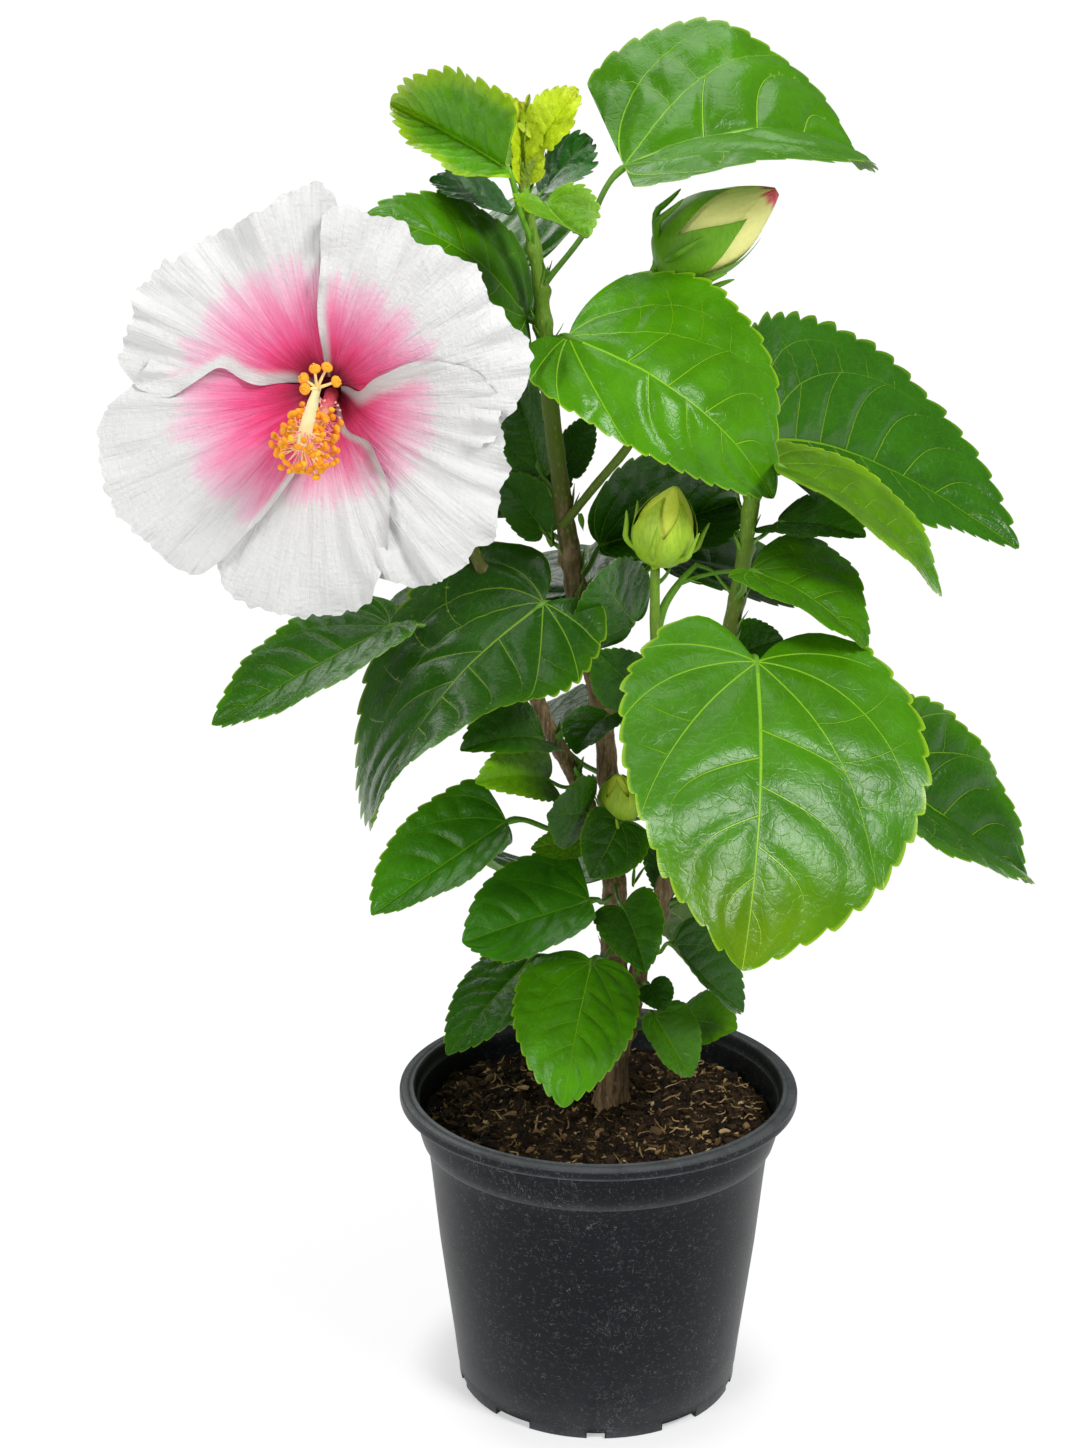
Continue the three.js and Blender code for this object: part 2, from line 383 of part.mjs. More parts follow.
// The potting mix fills the pot to just under the rim. Its top is flat where
// the stem stands and uneven towards the wall.
function soilSolid() {
  const sides = SIDES;
  const low = FLOOR.height + FLOOR.thickness + GAP;
  const wall = (z) => {
    const rows = [[low, FOOT_RADIUS - 2.9], [low + 2, FOOT_RADIUS - 1.2], [43, 65.8], [SHOULDER.foot, SHOULDER.wall], [SHOULDER.bottom + 1.2, SHOULDER.ledge], [SHOULDER.round + 0.6, SHOULDER.radius], [POT_HEIGHT, SHOULDER.radius + 1]];
    let i = 0;
    while (i < rows.length - 2 && rows[i + 1][0] < z) i++;
    const k = (z - rows[i][0]) / (rows[i + 1][0] - rows[i][0]);
    return rows[i][1] + (rows[i + 1][1] - rows[i][1]) * k - WALL - GAP * 2 - (i === 0 ? -WALL : 0);
  };
  const rings = [[low, wall(low) - WALL], [low + 2.2, wall(low + 2.2)], [43, wall(43)], [SHOULDER.foot - 1, wall(SHOULDER.foot - 1) - 0.3], [SHOULDER.bottom, wall(SHOULDER.bottom) - 0.5], [SOIL_LEVEL - 0.6, wall(SOIL_LEVEL) - 0.4], [SOIL_LEVEL, 58], [SOIL_LEVEL, 38], [SOIL_LEVEL - GAP, 20]];
  const points = [];
  rings.forEach(([z, r], i) => {
    for (let k = 0; k < sides; k++) {
      const a = (2 * Math.PI * k) / sides;
      const bump = i === 6 ? 1.1 * Math.sin(5 * a) + 0.8 * Math.cos(3 * a + 1) : i === 7 ? 0.9 * Math.sin(4 * a + 2) : 0;
      points.push(new THREE.Vector3(r * Math.cos(a), r * Math.sin(a), z + bump));
    }
  });
  const n = points.length;
  points.push(new THREE.Vector3(0, 0, low), new THREE.Vector3(0, 0, SOIL_LEVEL - GAP));
  const faces = [];
  for (let i = 0; i < rings.length - 1; i++)
    for (let k = 0; k < sides; k++) {
      const a = i * sides + k;
      const b = i * sides + ((k + 1) % sides);
      faces.push(a, b, b + sides, a, b + sides, a + sides);
    }
  for (let k = 0; k < sides; k++) {
    const k2 = (k + 1) % sides;
    faces.push(n, k2, k);
    const o = (rings.length - 1) * sides;
    faces.push(n + 1, o + k, o + k2);
  }
  return solid(indexed(points, faces));
}

// The open bloom as one thin ruffled dish on a funnel, with its column in
// front and its calyx behind.
function bloomSolid() {
  const axis = heading(BLOOM.azimuth, BLOOM.elevation);
  const right = new THREE.Vector3(0, 0, 1).cross(axis).normalize();
  const up = axis.clone().cross(right);
  const centre = vec(BLOOM.centre);
  const reach = (a) => {
    let best = 0;
    for (const [angle, length] of BLOOM.petals) {
      const off = Math.abs(((a - rad(angle) + 3 * Math.PI) % (2 * Math.PI)) - Math.PI);
      best = Math.max(best, length * (1 - 0.2 * Math.max(0, off - 0.18) ** 1.6));
    }
    return best;
  };
  const at = (x, y, h) => centre.clone().addScaledVector(right, x).addScaledVector(up, y).addScaledVector(axis, h);
  const sides = 20;
  const rings = [[0.1, -BLOOM.throatDepth], [0.2, -15], [0.38, -5], [0.68, 0], [1, -2.5]];
  const points = [];
  for (const back of [0, 1])
    rings.forEach(([share, depth], i) => {
      for (let k = 0; k < sides; k++) {
        const a = (2 * Math.PI * k) / sides;
        const r = share * reach(a) * (back && i === 4 ? 0.995 : 1) + (back && i < 2 ? BLOOM.thickness : 0);
        const wave = i > 2 ? BLOOM.ruffle * (i - 2) * 0.5 * Math.sin(9 * a + 0.6) : 0;
        points.push(at(r * Math.cos(a), r * Math.sin(a), depth + wave - (back ? BLOOM.thickness : 0)));
      }
    });
  const n = rings.length * sides;
  const faces = [];
  for (let i = 0; i < rings.length - 1; i++)
    for (let k = 0; k < sides; k++) {
      const a = i * sides + k;
      const b = i * sides + ((k + 1) % sides);
      faces.push(a, b, b + sides, a, b + sides, a + sides);
      faces.push(a + n, b + n + sides, b + n, a + n, a + n + sides, b + n + sides);
    }
  for (let k = 0; k < sides; k++) {
    const k2 = (k + 1) % sides;
    const o = (rings.length - 1) * sides;
    faces.push(o + k, o + k2, o + n + k2, o + k, o + n + k2, o + n + k); // petal edge
  }
  // close the funnel front and back with fans
  points.push(at(0, 0, -BLOOM.throatDepth), at(0, 0, -BLOOM.throatDepth - BLOOM.thickness));
  for (let k = 0; k < sides; k++) {
    const k2 = (k + 1) % sides;
    faces.push(2 * n, k2, k);
    faces.push(2 * n + 1, n + k, n + k2);
  }
  for (let i = 0; i < faces.length; i += 3) [faces[i], faces[i + 1]] = [faces[i + 1], faces[i]];
  let dish = solid(indexed(points, faces));
  if (dish.volume() < 0) {
    for (let i = 0; i < faces.length; i += 3) [faces[i], faces[i + 1]] = [faces[i + 1], faces[i]];
    dish = solid(indexed(points, faces));
  }
  const { length, radius, brush, droop } = BLOOM.column;
  const columnRows = [[-BLOOM.throatDepth - 1, radius * 1.6], [-10, radius * 1.3], [4, radius * 1.3], [8, brush], [length * 0.55, brush * 0.9], [length * 0.62, radius]].map(([h, r]) => {
    const k = Math.max(0, h + BLOOM.throatDepth) / (length + BLOOM.throatDepth);
    const p = at(-14 * k * k, droop * k * k, h);
    return [p.x, p.y, p.z, r];
  });
  const back = at(0, 0, -BLOOM.throatDepth - BLOOM.calyx.length * 0.55);
  const mid = at(0, 0, -BLOOM.throatDepth);
  const front = at(0, 0, -BLOOM.throatDepth + BLOOM.calyx.length * 0.4);
  const calyx = limb([[back.x, back.y, back.z, 3.2], [mid.x, mid.y, mid.z, BLOOM.calyx.radius + 1.5], [front.x, front.y, front.z, BLOOM.calyx.radius + 3]], 10);
  return dish.add(limb(columnRows, 6)).add(calyx);
}

function budSolid({ foot, tip, radius, widest }, grow = 0) {
  const a = vec(foot);
  const b = vec(tip);
  const rows = [0, 0.08, widest * 0.55, widest, (1 + widest) / 2, 0.9, 1].map((k) => {
    const p = a.clone().lerp(b, k);
    const share = k < widest ? Math.sqrt(1 - (1 - k / widest) ** 2) : Math.cos(((k - widest) / (1 - widest)) * 1.45);
    return [p.x, p.y, p.z, Math.max(1.4, radius * share) + grow];
  });
  return limb(rows, 9);
}

// The soft tip of the main stem: erect young blades that share its last node.
function shootSolid() {
  const foot = stemAt('main_stem', 503.8);
  const stem = limb([[foot[0], foot[1], foot[2] + GAP, 2], [-31.2, 2, 509, 1.8], [-31.6, 2, 515, 1.5]], 6);
  const stalk = limb([[-30.6, 2, 506.5, 1.2], [-28.2, 2.2, 515, 1.1], [-24.8, 2.4, 527, 1.1]], 6);
  const young = [
    { from: [-31.4, 2, 511.5], blade: [112, 79, 30, 17], pose: [0, 38, 0.03, 0, 0, 0.4, 0, 0] },
    { from: [-31.6, 2.6, 512], blade: [128, 70, 34, 17], pose: [10, 26, 0.04, 0, 0, 0.4, 0, 0] },
    { from: [-25, 2.2, 526], blade: [12, 53, 24.5, 21], pose: [-62, 34, 0.04, 0, 0, 0.4, 0, 0] },
  ];
  return young.reduce((all, y) => all.add(blade(vec(y.from), { blade: y.blade, pose: y.pose, thickness: 1.6 })), stem.add(stalk));
}

// ------------------------------------------------------------------ assembly
const root = new THREE.Group();
root.name = 'potted_hibiscus_shrub';
const placed = []; // every limb, bud and leaf so far, each with a grown copy

function add(name, body, look) {
  const mesh = new THREE.Mesh(geometryOf(body), new THREE.MeshStandardMaterial({ color: look[0], roughness: look[1], metalness: 0 }));
  mesh.name = name;
  root.add(mesh);
}

// Cut a solid clear of everything placed before it, then place it.
function place(name, make, look) {
  let body = make(0);
  for (const other of placed) if (body.intersect(other).volume() > 0) body = mainBody(body.subtract(other));
  placed.push(make(GAP + 0.15));
  add(name, body, look);
}

add('pot', potSolid(), COLOURS.pot);
add('soil', soilSolid(), COLOURS.soil);

place('main_stem', (g) => limb(STEMS.main_stem, STEM_SIDES.main_stem, g, true), COLOURS.bark);
for (const name of ['bough_right', 'bough_left', 'bough_centre', 'bough_upper'])
  place(name, (g) => limb(STEMS[name], STEM_SIDES[name], g), name === 'bough_centre' || name === 'bough_upper' ? COLOURS.green : COLOURS.bark);
{
  const shoot = shootSolid();
  placed.push(shoot);
  add('shoot_tip', shoot, COLOURS.young);
}
for (const [name, bud] of Object.entries(BUDS)) place(name, (g) => budSolid(bud, g), COLOURS.bud);
{
  let bloom = bloomSolid();
  for (const other of placed) if (bloom.intersect(other).volume() > 0) bloom = mainBody(bloom.subtract(other));
  placed.push(bloom);
  add('bloom', bloom, COLOURS.petal);
}
for (const row of LEAVES) {
  const look = row[0].startsWith('shoot') || row[0] === 'leaf_crown_left' ? COLOURS.young : row[0].startsWith('leaf_rear') ? COLOURS.shade : COLOURS.leaf;
  place(row[0], (g) => leafSolid(row, g), look);
}

export default root;
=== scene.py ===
"""Looks of the potted hibiscus shrub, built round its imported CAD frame.

Everything grows from the same tables of sizes as the solids (millimetres, turned into metres
where a mesh is made): stems with bark relief, one toothed, veined leaf for each leaf node,
five ruffled petals with their column, calyxes and buds, small stipules and shoots from a
seeded rule at the nodes, the potting mix and the nursery pot.
"""

import bpy
import math
import random
import numpy as np
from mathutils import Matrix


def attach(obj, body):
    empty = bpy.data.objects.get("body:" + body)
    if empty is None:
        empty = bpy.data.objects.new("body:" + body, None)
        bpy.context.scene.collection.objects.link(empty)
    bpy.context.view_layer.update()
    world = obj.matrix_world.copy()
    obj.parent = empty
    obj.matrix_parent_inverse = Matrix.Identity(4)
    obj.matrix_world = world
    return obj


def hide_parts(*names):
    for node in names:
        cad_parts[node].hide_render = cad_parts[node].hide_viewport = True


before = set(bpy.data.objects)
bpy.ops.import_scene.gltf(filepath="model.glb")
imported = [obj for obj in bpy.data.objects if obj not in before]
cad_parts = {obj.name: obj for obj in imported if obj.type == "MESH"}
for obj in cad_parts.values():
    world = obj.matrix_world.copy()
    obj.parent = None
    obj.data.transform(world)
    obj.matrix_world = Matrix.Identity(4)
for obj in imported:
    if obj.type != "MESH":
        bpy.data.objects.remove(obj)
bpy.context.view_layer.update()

# ---------------------------------------------------------------- sizes, mm
STEMS = {
    "main_stem": [(6.1, 6.5, 121, 8.6), (6.4, 6.1, 127, 6.9), (7.5, 4, 161.7, 5.4), (7.2, 2, 189.9, 4.9), (6.1, 0, 226.4, 4.4),
                  (2.7, 0, 278.6, 4.2), (-1.2, 0, 308.4, 4.1), (-6.6, 0, 329.4, 4), (-12.3, -2, 362.8, 3.8), (-16.8, -2, 395.2, 3.6),
                  (-20.9, 0, 426.7, 3.3), (-22.8, 0, 450.3, 3.1), (-24.8, 0, 471.5, 2.8), (-28, 2, 490.5, 2.4), (-30.3, 2, 503.8, 2)],
    "bough_right": [(9.7, 3, 150.7, 4.2), (14.6, 2, 171.8, 4.1), (17.7, 0, 190.8, 4), (23.7, -4, 212.5, 3.9), (31.5, -8, 242.5, 3.7),
                    (40.4, -12, 286.7, 3.5), (50.6, -14, 333.1, 3.3), (55.4, -16, 362, 3.1), (58, -16, 385.6, 2.8), (60.2, -18, 402.2, 2.2)],
    "bough_left": [(0.1, -5, 246.5, 3.4), (-4.9, -8, 261.7, 3.3), (-10.7, -10, 275.1, 3.2), (-18.1, -11, 289.4, 3.1), (-24.5, -12, 304.3, 3),
                   (-36, -10, 334, 2.9), (-53, -5, 370, 2.7), (-73, 0, 402, 2.4), (-89, 2, 423, 2.1), (-101, -4, 433.4, 2), (-104.8, -12, 435, 2.1)],
    "bough_centre": [(34.2, -12, 265.4, 2.6), (27.1, -17, 296.4, 2.4), (22.3, -20, 326.2, 2.3), (21.2, -22, 343, 2.1), (20.9, -24, 364, 1.9)],
    "bough_upper": [(-13.9, -6, 379.9, 2), (-0.9, -12, 397, 1.8), (10.7, -14, 411.9, 1.7), (17.8, 0, 434.7, 1.6), (17.6, 9, 461.1, 1.6),
                    (19.7, 11.5, 476.3, 1.7)],
}
LEAF_OUTLINE = [(0, 0), (-0.07, 0.17), (-0.1, 0.42), (-0.05, 0.72), (0.08, 0.94), (0.28, 1), (0.5, 0.93), (0.68, 0.74), (0.82, 0.5), (0.92, 0.24), (1, 0)]
# name, stem, height of its node, stalk (azimuth, elevation, length), blade (azimuth, elevation, length, width),
# pose (roll, fold, arch, sweep, twist, lobe, asymmetry, lobe skew)
LEAVES = [
    ('leaf_crown_right', 'main_stem', 470, (-8.8, 55.3, 57.1), (26.4, -1.3, 107.9, 109.3), (-28.6, 17.3, 0.185, -0.041, -11.8, 0, 0.13, 0)),
    ('leaf_crown_left', 'main_stem', 486, (-130.5, 63.4, 33.9), (129, 16.4, 82.4, 42.6), (63.4, 40, -0.015, -0.01, 17.9, 0.61, -0.27, 0.89)),
    ('leaf_behind_bloom', 'main_stem', 456, (144.9, 17.1, 9.1), (-158.1, 32.4, 76.4, 65), (41.1, 3.7, 0.123, -0.021, 2.6, 1, 0.02, 0)),
    ('leaf_upper_front', 'main_stem', 450, (-77.1, 8.3, 43.5), (2.7, -38, 100.1, 85.5), (-56.2, -11, 0.172, 0.008, -8.5, 0.84, 0.35, -0.55)),
    ('leaf_right_high', 'bough_right', 398, (67.6, 43.4, 20.1), (33.7, -22.8, 149.6, 86.1), (-56, 16, -0.07, 0.147, 7, 0.71, 0.19, 0.43)),
    ('leaf_right_folded', 'bough_right', 390, (-67.1, 42.1, 25.6), (15.4, -37.8, 90.3, 57.9), (-25.1, 11.5, 0.112, -0.03, -19.6, 0.16, -0.08, 0.05)),
    ('leaf_right_small', 'bough_right', 372, (30.5, 26.4, 17.6), (-47.1, 0.7, 45.2, 31.1), (-25.1, 16.6, 0.074, -0.013, -5.9, 1, 0, 0)),
    ('leaf_right_middle', 'bough_right', 350, (-80.9, 34.1, 30.4), (-18, -30.9, 54.3, 57.1), (-10.7, 11.7, 0.111, -0.021, 5.9, 0.63, 0.23, -0.33)),
    ('leaf_front_large', 'bough_right', 330, (-81.3, 8.1, 57.4), (-95.6, -50.8, 121.2, 115.5), (18.7, -0.4, 0.074, 0.008, 9.6, 1.61, 0.11, -0.06)),
    ('leaf_right_low', 'bough_right', 262, (-1.7, 11.8, 78.1), (23.6, -36.9, 95.5, 88.2), (-39, 30.1, 0.015, 0.021, 16.8, 0.76, -0.09, -0.48)),
    ('leaf_left_large', 'main_stem', 343, (-117.2, 14.5, 31.6), (-121.4, -27, 127.8, 92.3), (-16.2, -10.2, 0.034, -0.078, -81.9, 1.5, -0.24, 0)),
    ('leaf_left_high', 'bough_left', 342, (-161.4, -2.3, 46.6), (-167.7, -27.2, 80.1, 55.3), (20.4, 15.9, 0.04, 0.038, 11.7, 1, 0, 0)),
    ('leaf_left_middle', 'main_stem', 250, (-144.7, 12.7, 53.1), (-160.5, -30.8, 65.7, 56.2), (20, 25, -0.028, -0.039, 3.7, 0.09, 0.05, 0)),
    ('leaf_left_low', 'main_stem', 220, (-107.3, 14.9, 35.1), (-177.6, -18.9, 54.9, 54.3), (33.2, 19.2, 0.025, 0.005, 33.1, 0.1, -0.02, 0)),
    ('leaf_rim_left', 'main_stem', 192, (-142.2, 11.6, 44.8), (-133.4, -30.4, 55.7, 38.2), (5.2, 7.8, 0.041, 0.011, -6.8, 1, 0.06, 0)),
    ('leaf_rim_front', 'main_stem', 198, (-101.8, 11.1, 48.5), (-104.3, -45.2, 62.2, 49.6), (15.4, -12.4, 0.106, -0.013, 2, 0.89, -0.09, 0)),
    ('leaf_heart_low', 'main_stem', 226, (-85.4, 5.1, 42.3), (-72.6, -29.5, 34.2, 28.5), (-22.6, 21.8, 0.072, 0.03, 2.3, 1.01, 0.02, 0)),
    ('leaf_heart_middle', 'main_stem', 256, (-81.1, 8.9, 25.6), (-132.8, -49.2, 26, 28.9), (51.5, 15.3, 0.062, 0.005, -0.9, 0.98, 0.03, 0)),
    ('leaf_rim_right', 'bough_right', 196, (-71.8, 22.8, 38.9), (24.2, -46.1, 47.2, 36.5), (-45, 34.8, 0.003, -0.023, -8, 0.8, 0, 0)),
    ('leaf_rim_round', 'bough_right', 180, (-80.8, 20.2, 33.6), (-55, -39.2, 12.7, 15), (-23.8, 12.4, 0.06, 0.034, 0.8, 0.98, 0.03, 0)),
    ('leaf_rim_small', 'bough_right', 166, (-71.8, 20, 33.9), (-15.6, -57.8, 30.2, 27.1), (-33.6, 23.7, 0.038, -0.027, -2.7, 0.75, 0.07, 0)),
    ('leaf_rim_rear', 'bough_right', 158, (5.7, 8.7, 23.8), (-46.5, 10.8, 33.8, 30.9), (-36.4, 4.7, 0.054, 0.006, -2.5, 0.98, 0.01, 0)),
    ('leaf_centre_shade', 'main_stem', 352, (32.1, 52.6, 19.7), (43.2, 6.2, 81.4, 66.8), (-61.7, 51.7, 0.01, -0.003, -12.8, 0.97, 0.11, 0)),
    ('leaf_centre_middle', 'main_stem', 328, (-14.4, 26.9, 22.5), (-113.3, 37.9, 44.3, 39.7), (118.8, -14.2, -0.023, 0.016, 0.2, 1, 0.05, 0)),
    ('leaf_centre_low', 'main_stem', 298, (0, 33.7, 19), (-150.1, 42.7, 28.3, 26.1), (107.6, 4.7, 0.033, 0.02, -1.7, 1, 0.06, 0)),
    ('leaf_stem_left', 'main_stem', 364, (169.8, 43.1, 15.5), (138.6, 34.2, 30.8, 23.8), (44, 28, 0.091, -0.027, 3.1, 1, -0.04, 0)),
    ('leaf_stem_high', 'main_stem', 386, (128.6, 36.2, 19), (108.5, 36.4, 49.4, 28.6), (58.7, 19.9, 0.06, -0.07, -5.9, 1, -0.07, 0)),
    ('leaf_left_small_a', 'bough_left', 286, (-114.2, 27.5, 21.3), (-131.8, 5.7, 45.1, 30.2), (38.4, 27.3, 0.097, 0, 3, 1, -0.02, 0)),
    ('leaf_left_small_b', 'bough_left', 270, (-118.4, 20.4, 27.6), (-128.4, 11.7, 44.7, 26.9), (54.2, 19.2, 0.08, -0.027, -1.1, 0.99, -0.03, 0)),
    ('leaf_centre_small', 'main_stem', 294, (-84.2, 24.1, 24.2), (-118.3, -20, 28, 25), (-1.9, 15.3, 0.063, -0.025, 0.4, 1.03, -0.01, 0)),
    ('leaf_left_small_c', 'bough_left', 254, (-99.1, 30.2, 18.2), (-115.8, 14.1, 37.4, 30.6), (100.9, -1, 0.045, -0.01, -4.4, 0.97, -0.01, 0)),
    ('shoot_front', 'main_stem', 500, (-75.3, 7.1, 31.2), (-60.5, -17.5, 34.1, 30.5), (-8, 27.2, -0.02, -0.034, 14.6, 1.82, 0.03, -0.31)),
    ('shoot_left', 'main_stem', 506, (128.1, -36.7, 12.7), (176.2, 22.2, 33.9, 35.6), (15.3, 6.3, 0.073, 0.004, 27.4, 0, -0.04, 0)),
    ('shoot_right', 'main_stem', 506, (70.5, -1.2, 19.1), (8.8, 50.5, 28.6, 37.8), (-21.5, 6, 0.02, 0.004, -44.1, 0.08, -0.14, -0.06)),
    ('leaf_rear_01', 'main_stem', 458, (108.3, 17.1, 55), (101.3, 4.8, 99.2, 81.5), (21.8, 15.3, 0.088, 0, 0, 1, 0, 0)),
    ('leaf_rear_02', 'main_stem', 445, (149.1, 10.4, 47.7), (161.7, -10.3, 54.5, 42.9), (-8.1, 20.8, 0.104, 0, 0, 1, 0, 0)),
    ('leaf_rear_03', 'main_stem', 436, (82.5, 10.5, 37.9), (86.7, -23.2, 85.1, 79.8), (3.9, 8.2, 0.047, 0, 0, 1, 0, 0)),
    ('leaf_rear_04', 'bough_left', 407, (100.2, 18.8, 58.2), (105.8, -25.1, 96.4, 87.6), (-8.2, 8, 0.109, 0, 0, 1, 0, 0)),
    ('leaf_rear_05', 'bough_right', 385, (100, 39.7, 49), (85, -38, 64.4, 54.7), (-16.9, 13.8, 0.06, 0, 0, 1, 0, 0)),
    ('leaf_rear_06', 'main_stem', 369, (126, 18.9, 34.3), (116.2, -2.7, 69.9, 55.3), (13.8, 11.4, 0.113, 0, 0, 1, 0, 0)),
    ('leaf_rear_07', 'main_stem', 328, (88.1, 15.1, 50.9), (87.7, -2.6, 100.1, 93.4), (20.3, 6.5, 0.099, 0, 0, 1, 0, 0)),
    ('leaf_rear_08', 'main_stem', 336, (32.9, 30.5, 47.6), (31.3, -19.9, 100, 83.1), (-17.4, 8.2, 0.046, 0, 0, 1, 0, 0)),
    ('leaf_rear_09', 'main_stem', 323, (169.6, 21.3, 52.5), (147.1, -22.8, 68.2, 55.4), (15.1, 12.9, 0.115, 0, 0, 1, 0, 0)),
    ('leaf_rear_10', 'main_stem', 271, (127.4, 13, 40.3), (106.3, -13.8, 79.7, 62.8), (12.2, 18.8, 0.075, 0, 0, 1, 0, 0)),
    ('leaf_rear_11', 'bough_right', 265, (94.7, 28.4, 43.3), (83.3, -42.7, 65.1, 60.7), (-9.7, 9.7, 0.079, 0, 0, 1, 0, 0)),
    ('leaf_rear_12', 'bough_right', 215, (29.8, 25.2, 20.3), (21.6, -16.9, 64.3, 50.4), (-6.2, 13.7, 0.084, 0, 0, 1, 0, 0)),
    ('leaf_rear_13', 'main_stem', 201, (113.1, 7.4, 51.8), (109, -16.6, 102.7, 95.3), (-2.6, 21.5, 0.067, 0, 0, 1, 0, 0)),
    ('leaf_rear_14', 'main_stem', 195, (55.9, 8.5, 41.2), (53.2, -46.1, 60.6, 52), (24, 20.3, 0.092, 0, 0, 1, 0, 0)),
]
BLOOM = {"centre": (-106, -62, 434), "azimuth": -92, "elevation": -1}
# A petal: its left edge and right edge as seen from the front, (radius, angle), its rim (angle, radius), and how far its pink reaches.
PETALS = {
    "petal_upper_left": {"left": [(5, 165), (10.4, 160), (22.7, 167), (29.2, 165), (37.8, 161), (42.9, 168), (47.2, 173), (53.4, 178), (64.3, 177), (75.6, 172)],
                         "right": [(5, 94), (20, 80), (40, 72), (66, 66)],
                         "rim": [(172, 75.6), (158, 75.5), (141, 74.4), (123, 69), (103, 71.8), (93, 77.7), (88, 79.1), (84, 75.0), (77, 66), (66, 60)], "margin": 8, "pink": 50},
    "petal_upper_right": {"left": [(5, 92), (14.7, 87), (33, 88), (46.6, 86), (60, 86), (75, 85)],
                          "right": [(5, 20), (20, 0), (40, -10), (68, -20)],
                          "rim": [(85, 75), (76, 72), (63, 72.5), (51, 72), (43, 76.3), (32, 76.6), (24, 77.7), (16, 82.4), (9, 80.1), (0, 74.5), (-7, 69), (-20, 62)], "margin": 4.5, "pink": 46},
    "petal_right": {"left": [(5, 14), (13.6, 6), (19.2, 17), (29.8, 22), (41.6, 22), (52.8, 16), (62.7, 11)],
                    "right": [(5, -52), (20, -62), (40, -74), (66, -88)],
                    "rim": [(11, 62.7), (3, 66.9), (-5, 69), (-17, 74.2), (-27, 77.6), (-38, 81.4), (-48, 82.2), (-57, 80.7), (-62, 79.7), (-67, 74), (-75, 68), (-88, 64)], "margin": 11, "pink": 42},
    "petal_bottom": {"left": [(5, -54), (14.9, -54), (22.9, -41), (31, -44), (40.9, -50), (56, -62), (71.2, -71)],
                     "right": [(5, -122), (20, -128), (40, -132), (70, -138)],
                     "rim": [(-71, 71.2), (-78, 78.2), (-83, 82), (-90, 83.2), (-96, 83), (-104, 82.7), (-112, 81.1), (-117, 78.5), (-122, 74.5), (-130, 70), (-138, 68)], "margin": 5, "pink": 38},
    "petal_lower_left": {"left": [(5, -120), (15, -104), (24, -106), (34, -111), (45, -115), (60, -120), (73.7, -122)],
                         "right": [(5, -194), (20, -200), (40, -206), (62, -212)],
                         "rim": [(-122, 73.7), (-125, 80.9), (-128, 84), (-136, 85.3), (-144, 87.2), (-151, 89.2), (-160, 87.6), (-171, 85.1), (-178, 78), (-186, 68), (-200, 62), (-212, 58)], "margin": 3.5, "pink": 52},
}
PETAL_DEPTH = [(4, -34), (8, -29), (13, -19), (19, -11.5), (28, -6), (40, -2.4), (55, -0.4), (72, -0.6), (95, -3.5)]
BUDS = {
    "bud_upper": {"foot": (20.4, 11.7, 477.7), "tip": (67, 7.7, 507), "radius": 15.9, "widest": 0.42, "open": 0.62, "bracts": 7, "bract": 0.42, "turn": 20},
    "bud_centre": {"foot": (20.9, -24, 365), "tip": (28.5, -28, 397.1), "radius": 12, "widest": 0.45, "open": 0.8, "bracts": 6, "bract": 0.62, "turn": 50},
    "bud_low": {"foot": (9.2, -14, 256.2), "tip": (6.7, -22, 278.9), "radius": 8.2, "widest": 0.5, "open": 0.97, "bracts": 5, "bract": 0.5, "turn": 10},
}
SOIL_LEVEL = 121
RIM_RADIUS = 85

# ------------------------------------------------------------- small tools
Z = np.array([0.0, 0.0, 1.0])


def rad(a):
    return np.radians(a)


def unit(v):
    v = np.asarray(v, float)
    return v / np.maximum(np.linalg.norm(v, axis=-1, keepdims=True), 1e-12)


def heading(az, el):
    return np.array([math.cos(rad(az)) * math.cos(rad(el)), math.sin(rad(az)) * math.cos(rad(el)), math.sin(rad(el))])


def smooth(x, a, b):
    t = np.clip((np.asarray(x, float) - a) / (b - a), 0, 1)
    return t * t * (3 - 2 * t)


def spline(rows, x):
    """A smooth curve through (x, y) rows, which rise in x."""
    xs, ys = np.array(rows, float).T
    h = np.diff(xs)
    d = np.diff(ys) / h
    m = np.empty(len(xs))
    m[0], m[-1] = d[0], d[-1]
    m[1:-1] = (d[:-1] * h[1:] + d[1:] * h[:-1]) / (h[:-1] + h[1:])
    x = np.clip(np.asarray(x, float), xs[0], xs[-1])
    i = np.clip(np.searchsorted(xs, x) - 1, 0, len(h) - 1)
    t = (x - xs[i]) / h[i]
    return (ys[i] * (1 + 2 * t) * (1 - t) ** 2 + m[i] * h[i] * t * (1 - t) ** 2 + ys[i + 1] * t * t * (3 - 2 * t) + m[i + 1] * h[i] * t * t * (t - 1))


def vnoise(p, seed=0):
    """Smooth random field from -1 to 1 with features about one unit across."""
    p = np.asarray(p, float)
    i = np.floor(p).astype(np.int64)
    f = p - i
    f = f * f * (3 - 2 * f)
    out = 0
    for dx in (0, 1):
        for dy in (0, 1):
            for dz in (0, 1):
                h = ((i[..., 0] + dx) * 374761393 + (i[..., 1] + dy) * 668265263 + (i[..., 2] + dz) * 2147483647 + seed * 1274126177) & 0xFFFFFFFF
                h = ((h ^ (h >> 13)) * 1274126177) & 0xFFFFFFFF
                h = (h ^ (h >> 16)) & 0xFFFFFF
                w = (f[..., 0] if dx else 1 - f[..., 0]) * (f[..., 1] if dy else 1 - f[..., 1]) * (f[..., 2] if dz else 1 - f[..., 2])
                out = out + w * (h / 0x7FFFFF - 1)
    return out


